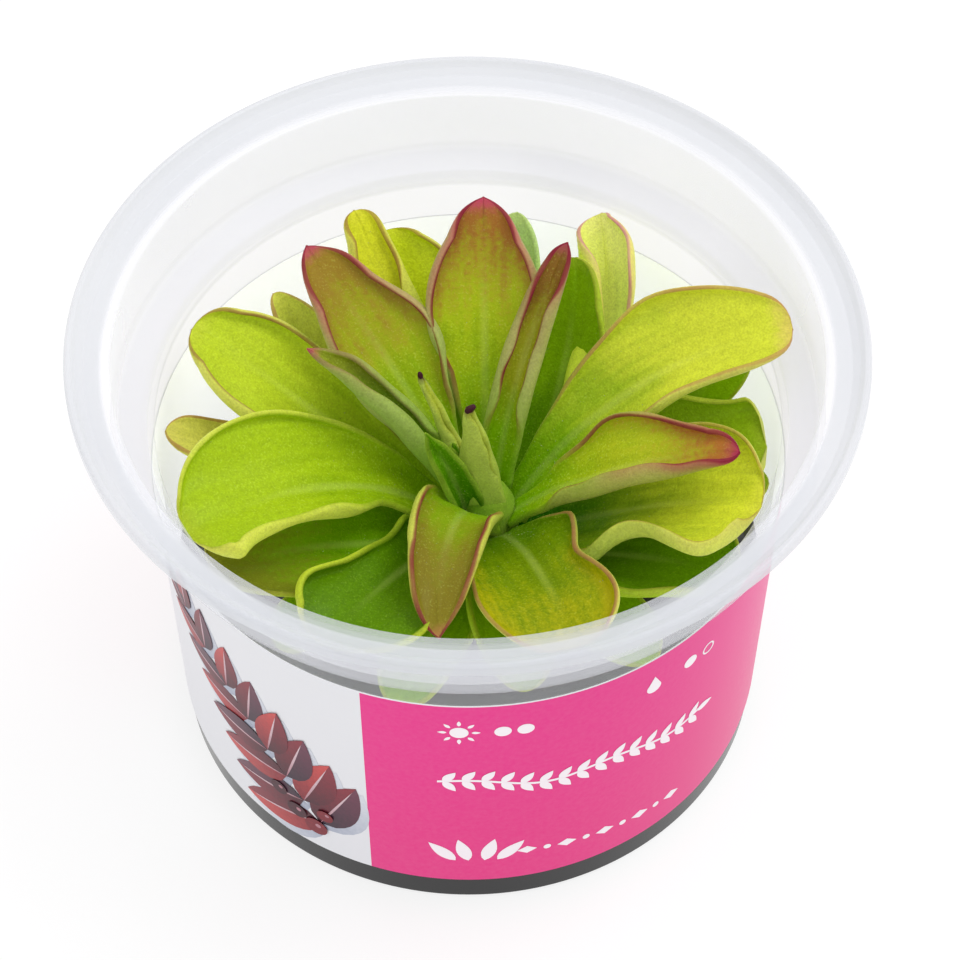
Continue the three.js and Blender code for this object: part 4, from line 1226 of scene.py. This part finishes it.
def build_film():
    tree, g, given, out = shader_group("printed_film", {"Tint": "colour", "Shade": "colour"})
    broad = g.noise(given["Place"], 30.0)
    fine = g.noise(given["Place"], 1500.0)
    # Painted shade: darker towards the foot, in broad uneven patches
    low = g.less(g.fade(g.split(given["Place"])["Z"], SHADE_TO, SHADE_FROM))
    shaded = g.times(g.plus(low, g.swing(broad, 0.6), clamp=True), 0.6)
    tint = g.mix(shaded, given["Tint"], given["Shade"])
    colour = g.mix(g.times(fine, 0.06), tint, PURE_WHITE)
    give_surface(g, out, colour, g.plus(0.34, g.swing(fine, 0.15)), g.plus(broad, g.times(fine, 0.08)))
    return tree


FILM = build_film()
FILM_SURFACE = {"IOR": 1.4, "Specular IOR Level": 0.25, "Coat Weight": 0.05, "Coat Roughness": 0.2}


def film(name, tint, shade, glow=None):
    return material_with(name, FILM, {"Tint": srgb(tint), "Shade": srgb(shade)},
                         {**FILM_SURFACE, **(glow or {})}, bump=0.1, bump_depth=0.3 * MM)[0]


# The second colour of each film is its painted shade towards the foot.
pink_film = film("pink_film", (234, 18, 136), (228, 12, 122))
white_film = film("white_film", (232, 232, 236), (224, 224, 230))
white_ink = film("white_ink", (252, 244, 249), (248, 238, 245))

# Daylight shines through a thin film. Its white back glows faintly in place of that light.
BACK_GLOW = {"Emission Color": PURE_WHITE, "Emission Strength": 0.62}
film_back = film("film_back", (240, 240, 244), (236, 236, 241), BACK_GLOW)
glow_by_itself(film_back)
print("films and inks:", [m.name for m in (pink_film, white_film, white_ink, film_back)])

# %% Wrap
WRAP_BOTTOM, WRAP_TOP, WRAP_GAP, WRAP_THICK = 5.1, 46.9, 0.12, 0.2
WRAP_OUTER = WRAP_GAP + WRAP_THICK
# The white panel lies between these angles round the cup, in degrees. The front is at -90.
PANEL_FROM, PANEL_TO = -172.5, -108.75
# A face whose normal rises more than this is one of the film's cut edges, which are white.
EDGE_RISE = 0.5
low_radius, high_radius = wall_radius(WRAP_BOTTOM), wall_radius(WRAP_TOP)
wrap = turned("printed_wrap", [
    (low_radius + WRAP_GAP, WRAP_BOTTOM), (low_radius + WRAP_OUTER, WRAP_BOTTOM),
    (high_radius + WRAP_OUTER, WRAP_TOP), (high_radius + WRAP_GAP, WRAP_TOP)], pink_film, closed=True)
PINK, WHITE, BACK = range(3)
wrap.data.materials.append(white_film)
wrap.data.materials.append(film_back)
for face in wrap.data.polygons:
    angle = math.degrees(math.atan2(face.center.y, face.center.x))
    inward = face.normal.x * face.center.x + face.normal.y * face.center.y < 0
    white = PANEL_FROM < angle < PANEL_TO or abs(face.normal.z) > EDGE_RISE
    face.material_index = BACK if inward else WHITE if white else PINK
keep(wrap, "printed_wrap", "label")

# %% [markdown]
# ## Ink on the wrap
# Ink has hardly any thickness, but a mark that is geometry stays sharp from near by and needs no picture
# file. So each mark is a plate of a few hundredths of a millimetre: drawn flat, cut every millimetre so
# that it can bend, and then laid round the wall by a geometry tree. The marks are plain ornaments: a sun,
# dots, a drop, a garland and some leaves.


# %% A tree that lays flat artwork round the wall
def build_wrapping_tree():
    tree, g, given, out = geometry_tree("artwork_on_wall", {
        "Base Radius": "value", "Widening": "value", "Front Angle": "value"})
    flat = g.split(g.add("GeometryNodeInputPosition").outputs[0])
    angle = g.plus(g.math("DIVIDE", flat["X"], given["Base Radius"]), given["Front Angle"])
    radius = g.plus(given["Base Radius"], g.times(flat["Y"], given["Widening"]), flat["Z"])
    place = g.around(radius, angle, flat["Y"])
    laid = g.add("GeometryNodeSetPosition", {"Geometry": given["Geometry"], "Position": place}).outputs[0]
    g.put(out.inputs[0], g.add("GeometryNodeRealizeInstances", {"Geometry": laid}).outputs[0])
    return tree


WRAPPING = build_wrapping_tree()
print("wrapping tree nodes:", len(WRAPPING.nodes))

# %% Flat plates of ink
INK_THICK, INK_LAYER, INK_GAP, CUT_EVERY = 0.03, 0.02, 0.01, 1.0
INK_RADIUS = BASE_RADIUS + WRAP_OUTER + INK_GAP


def circle(x, y, radius, turns):
    return [(x + radius * math.cos(turn), y + radius * math.sin(turn)) for turn in turns]


def placed(points, x, y, turn, length):
    """Points along and across a shape, turned and moved to (x, y). Along runs from 0 to 1."""
    c, s = math.cos(turn), math.sin(turn)
    return [(x + length * u * c - v * s, y + length * u * s + v * c) for u, v in points]


class Artwork:
    """Plates on one flat sheet. Places are mm: along the wall from its front, and up from the base."""

    def __init__(self):
        self.points, self.faces, self.finishes, self.tones = [], [], [], []

    def plate(self, outline, finish=0, layer=0, tones=None):
        """A closed plate with that outline. tones gives a value for each of its points."""
        start, count = len(self.points), len(outline)
        low, high = layer * INK_LAYER, layer * INK_LAYER + INK_THICK
        self.points += [(x, y, z) for z in (low, high) for x, y in outline]
        self.tones += list(tones or [0.0] * count) * 2
        under = range(start, start + count)
        over = range(start + count, start + 2 * count)
        nexts = [(i + 1) % count for i in range(count)]
        sides = [(under[i], under[j], over[j], over[i]) for i, j in enumerate(nexts)]
        self.faces += [*sides, tuple(reversed(under)), tuple(over)]
        self.finishes += [finish] * (count + 2)

    def disc(self, x, y, radius, finish=0, layer=0, steps=32):
        self.plate(circle(x, y, radius, [2 * math.pi * i / steps for i in range(steps)]), finish, layer)

    def ring(self, x, y, radius, width, steps=32):
        """A ring as two halves that meet end to end."""
        for half in (0, 1):
            turns = [math.pi * (half + i / (steps // 2)) for i in range(steps // 2 + 1)]
            self.plate(circle(x, y, radius, turns) + circle(x, y, radius - width, turns)[::-1])

    def leaf(self, x, y, angle, length, width, finish=0, layer=0, steps=9):
        """A pointed leaf that grows from (x, y). Its tone runs from 0 at the foot to 1 at the tip."""
        shares = [i / steps for i in range(steps + 1)]
        side = [(s, width / 2 * math.sin(math.pi * s ** 0.8) ** 0.9) for s in shares]
        outline = side + [(s, -a) for s, a in side[-2:0:-1]]
        self.plate(placed(outline, x, y, angle, length), finish, layer, [u for u, _ in outline])

    def on_wall(self, name, materials):
        """Cuts the plates every millimetre, lays them on the wrap and gives one finished piece."""
        mesh = plain_mesh(name, [(x * MM, y * MM, z * MM) for x, y, z in self.points], self.faces)
        for material in materials:
            mesh.materials.append(material)
        mesh.polygons.foreach_set("material_index", self.finishes)
        mesh.attributes.new("tone", "FLOAT", "POINT").data.foreach_set("value", self.tones)
        work = bmesh.new()
        work.from_mesh(mesh)
        xs = [x for x, _, _ in self.points]
        for cut in np.arange(math.ceil(min(xs)), max(xs), CUT_EVERY):
            everything = [*work.verts, *work.edges, *work.faces]
            bmesh.ops.bisect_plane(work, geom=everything, plane_co=(cut * MM, 0, 0), plane_no=(1, 0, 0))
        bmesh.ops.recalc_face_normals(work, faces=work.faces)
        work.to_mesh(mesh)
        work.free()
        widening = (WALL_TOP_RADIUS - BASE_RADIUS) / LEDGE
        piece = run_tree(new_object(name + "_flat", mesh), WRAPPING, name, {
            "Base Radius": INK_RADIUS * MM, "Widening": widening, "Front Angle": -math.pi / 2})
        return keep(piece, "printed_wrap")


def along_wall(angle):
    """Millimetres along the wall from its front, for an angle round the cup in degrees."""
    return math.radians(angle + 90) * INK_RADIUS


print("artwork reaches from", round(along_wall(PANEL_FROM), 1), "mm")

# %% White marks on the pink film
# Places round the cup are angles in degrees, from -90 at the front. Heights and sizes are mm.
SUN_ANGLE, SUN_HEIGHT, SUN_RADIUS, SUN_RAYS = -91.5, 41.2, 1.15, 8
RAY_FROM, RAY_LENGTH, RAY_WIDTH = 1.5, 1.1, 0.5
DOT_RADIUS, RING_WIDTH = 1.05, 0.25
# The dots beside the sun are angles, the last dot and the ring are (angle, height).
SUN_DOTS, LAST_DOT, LAST_RING = (-83.9, -79.9), (-47.1, 40.9), (-42.4, 40.5)
DROP_ANGLE, DROP_HEIGHT, DROP_SHOULDER, DROP_SHOULDER_HEIGHT, DROP_TIP = -55.5, 40.6, 0.97, 0.4, 2.4

marks = Artwork()
sun_x = along_wall(SUN_ANGLE)
marks.disc(sun_x, SUN_HEIGHT, SUN_RADIUS)
rays = [2 * math.pi * i / SUN_RAYS for i in range(SUN_RAYS)]
for turn, (x, y) in zip(rays, circle(sun_x, SUN_HEIGHT, RAY_FROM, rays)):
    marks.leaf(x, y, turn, RAY_LENGTH, RAY_WIDTH)
for angle in SUN_DOTS:
    marks.disc(along_wall(angle), SUN_HEIGHT, DOT_RADIUS)
drop_x, shoulder = along_wall(DROP_ANGLE), DROP_HEIGHT + DROP_SHOULDER_HEIGHT
marks.disc(drop_x, DROP_HEIGHT, DOT_RADIUS)
marks.plate([(drop_x - DROP_SHOULDER, shoulder), (drop_x + DROP_SHOULDER, shoulder),
             (drop_x, DROP_HEIGHT + DROP_TIP)], layer=1)
marks.disc(along_wall(LAST_DOT[0]), LAST_DOT[1], DOT_RADIUS)
marks.ring(along_wall(LAST_RING[0]), LAST_RING[1], DOT_RADIUS, RING_WIDTH)
print("faces of the marks so far:", len(marks.faces))

# %% A garland where other wraps have a name
GARLAND_FROM, GARLAND_TO = along_wall(-95.5), along_wall(-43)
GARLAND_HEIGHT, GARLAND_FALL, GARLAND_SWING = 29.6, 2.6, 0.7
GARLAND_LEAVES, LEAF_TURN, LEAF_LENGTH, LEAF_WIDTH = 15, 0.95, 2.7, 1.25
STEM_STEPS, HALF_STEM = 60, 0.22


def garland_height(x):
    """The garland falls a little to the right and swings twice."""
    share = (x - GARLAND_FROM) / (GARLAND_TO - GARLAND_FROM)
    return GARLAND_HEIGHT - GARLAND_FALL * share + GARLAND_SWING * math.sin(4 * math.pi * share)


stem = [GARLAND_FROM + (GARLAND_TO - GARLAND_FROM) * i / STEM_STEPS for i in range(STEM_STEPS + 1)]
above = [(x, garland_height(x) + HALF_STEM) for x in stem]
below = [(x, garland_height(x) - HALF_STEM) for x in stem]
marks.plate(above + below[::-1])
for i in range(GARLAND_LEAVES):
    x = GARLAND_FROM + (GARLAND_TO - GARLAND_FROM) * (i + 0.3) / GARLAND_LEAVES
    for sign in (-1, 1):
        marks.leaf(x, garland_height(x), sign * LEAF_TURN, LEAF_LENGTH, LEAF_WIDTH, layer=1)
marks.leaf(GARLAND_TO - 0.3, garland_height(GARLAND_TO), angle=-0.1, length=3, width=1.3, layer=1)
print("leaves of the garland:", 2 * GARLAND_LEAVES + 1)

# %% A rule of dots and lozenges lower down, and a small sprig at its start
RULE_FROM, RULE_TO, RULE_COUNT = along_wall(-79), along_wall(-48), 9
RULE_HEIGHT, RULE_FALL = 11.8, 1.6
RULE_DOT, LOZENGE_LONG, LOZENGE_HIGH = 0.5, 1.3, 0.85
SPRIG_X, SPRIG_HEIGHT, SPRIG_SPREAD = along_wall(-88.5), 10.2, 4.2
SPRIG_TURNS = (-0.7, -0.25, 0.25, 0.7)

for i in range(RULE_COUNT):
    x = RULE_FROM + (RULE_TO - RULE_FROM) * i / (RULE_COUNT - 1)
    y = RULE_HEIGHT - RULE_FALL * i / (RULE_COUNT - 1)
    if i % 2:
        marks.disc(x, y, RULE_DOT)
    else:
        marks.plate([(x - LOZENGE_LONG, y), (x, y - LOZENGE_HIGH), (x + LOZENGE_LONG, y),
                     (x, y + LOZENGE_HIGH)])
for turn in SPRIG_TURNS:
    x = SPRIG_X - SPRIG_SPREAD * math.sin(turn)
    marks.leaf(x, SPRIG_HEIGHT, math.pi / 2 + turn, length=5.4, width=1.9)
marks.on_wall("wrap_marks", [white_ink])

# %% [markdown]
# ## The picture on the white panel
# The panel shows a drooping twig in wine red, with broad two-tone leaves, pale ribs and a few berries, over
# its own pale shadow. It is drawn by a rule from pairs of leaves that grow smaller along the twig. The tone
# that each plate carries lets one ink run from a dark foot to a lighter tip.


# %% Inks of the picture
def build_picture_ink():
    tree, g, given, out = shader_group("picture_ink", {"Tone": "value", "Foot": "colour", "Tip": "colour"})
    grain = g.noise(given["Place"], 1800.0)
    tone = g.plus(given["Tone"], g.swing(grain, 0.5), clamp=True)
    colour = g.mix(tone, given["Foot"], given["Tip"])
    give_surface(g, out, colour, g.plus(0.34, g.swing(grain, 0.1)), grain)
    return tree


PICTURE_INK = build_picture_ink()


def picture_ink(name, foot, tip):
    values = {"Tone": carried("tone"), "Foot": srgb(foot), "Tip": srgb(tip)}
    return material_with(name, PICTURE_INK, values, FILM_SURFACE, bump=0.05)[0]


# The colours of each ink at a leaf's foot and at its tip
INKS = {"shadow": ((168, 174, 192), (218, 220, 228)), "wine": ((66, 22, 36), (142, 46, 60)),
        "red": ((122, 26, 40), (208, 78, 76)), "dusk": ((46, 30, 46), (112, 58, 78)),
        "frost": ((176, 120, 132), (226, 206, 212))}
SHADOW, WINE, RED, DUSK, FROST = range(len(INKS))
inks = [picture_ink(name + "_ink", *tones) for name, tones in INKS.items()]
print("inks:", [ink.name for ink in inks])

# %% A twig with pairs of leaves
TWIG_X, TWIG_HEIGHT = along_wall(-119), 11.5
TWIG_PAIRS, TWIG_RUN, TWIG_RISE, TWIG_BEND = 8, 23.0, 26.5, 2.5
# What each value is at the twig's foot, and by how much it falls towards its end
PAIR_LENGTH, PAIR_WIDTH, PAIR_SPREAD = (13.5, 6), (6.6, 2.8), (66, 30)
TWIG_DIRECTION = 131
SHADOW_SHIFT, SHADOW_WIDER = (0.9, -1.1), 0.6
LEAF_STEPS, RIB_WIDTH = 10, 0.35
LEAF_LAYERS = 4


def two_tone_leaf(art, x, y, turn, length, width, dark, light, layer):
    """A broad leaf with a dark half, a light half and a pale rib between them."""
    shares = [i / LEAF_STEPS for i in range(LEAF_STEPS + 1)]
    for sign, finish in ((-1, dark), (1, light)):
        side = [(u, sign * width / 2 * math.sin(math.pi * u ** 0.75) ** 0.8) for u in shares]
        outline = side + [(u, 0) for u in shares[-2:0:-1]]
        art.plate(placed(outline, x, y, turn, length), finish, layer, [u for u, _ in outline])
    art.leaf(x, y, turn, length * 0.9, RIB_WIDTH, FROST, layer + 1)


picture = Artwork()
for i in range(TWIG_PAIRS):
    share = i / (TWIG_PAIRS - 1)
    x = TWIG_X - TWIG_RUN * share + TWIG_BEND * math.sin(3 * share)
    y = TWIG_HEIGHT + TWIG_RISE * share
    length, width, spread = (at_foot - fall * share
                             for at_foot, fall in (PAIR_LENGTH, PAIR_WIDTH, PAIR_SPREAD))
    for sign in (-1, 1):
        turn = math.radians(TWIG_DIRECTION + sign * spread)
        picture.leaf(x + SHADOW_SHIFT[0], y + SHADOW_SHIFT[1], turn, length, width + SHADOW_WIDER, SHADOW)
        dark, light = ((DUSK, WINE), (WINE, RED))[(i + (sign > 0)) % 2]
        two_tone_leaf(picture, x, y, turn, length, width, dark, light, layer=1 + 2 * (i % LEAF_LAYERS))
print("faces of the twig's leaves:", len(picture.faces))

# %% Berries at the twig's foot
# Each berry is (to the right of the foot, up from it, radius) in mm, with a small pale gleam on it.
BERRIES = ((-3.5, 0.5, 1.5), (-0.6, -1.2, 1.7), (-6.2, 3.6, 1.3), (0.9, 2.4, 1.2))
GLEAM_SHIFT, GLEAM_SIZE = (0.35, 0.45), 0.25
BERRY_LAYER = 2 + 2 * LEAF_LAYERS

for i, (right, up, radius) in enumerate(BERRIES):
    x, y = TWIG_X + right, TWIG_HEIGHT + up
    picture.disc(x, y, radius, RED if i % 2 else WINE, BERRY_LAYER)
    picture.disc(x + GLEAM_SHIFT[0], y + GLEAM_SHIFT[1], radius * GLEAM_SIZE, FROST, BERRY_LAYER + 1)
picture.on_wall("wrap_picture", inks)

# %% [markdown]
# ## Floor
# The cup stands on a plain pale floor, which isn't part of the object.

# %% Floor
FLOOR_WIDTH, FLOOR_DROP = 3.0, 0.02 * MM
FLOOR_GREY, FLOOR_GLOW = 0.22, 0.79
half = FLOOR_WIDTH / 2
corners = [(-half, -half), (half, -half), (half, half), (-half, half)]
floor = new_object("floor", plain_mesh("floor", [(x, y, -FLOOR_DROP) for x, y in corners], [(0, 1, 2, 3)]))
pale = new_material("pale_floor", {
    "Base Color": (FLOOR_GREY, FLOOR_GREY, FLOOR_GREY, 1), "Roughness": 0.9, "Emission Color": PURE_WHITE,
    "Emission Strength": FLOOR_GLOW})[0]
glow_by_itself(pale)
floor.data.materials.append(pale)
print("floor:", FLOOR_WIDTH, "metres wide,", round(FLOOR_DROP / MM, 2), "mm under the cup")
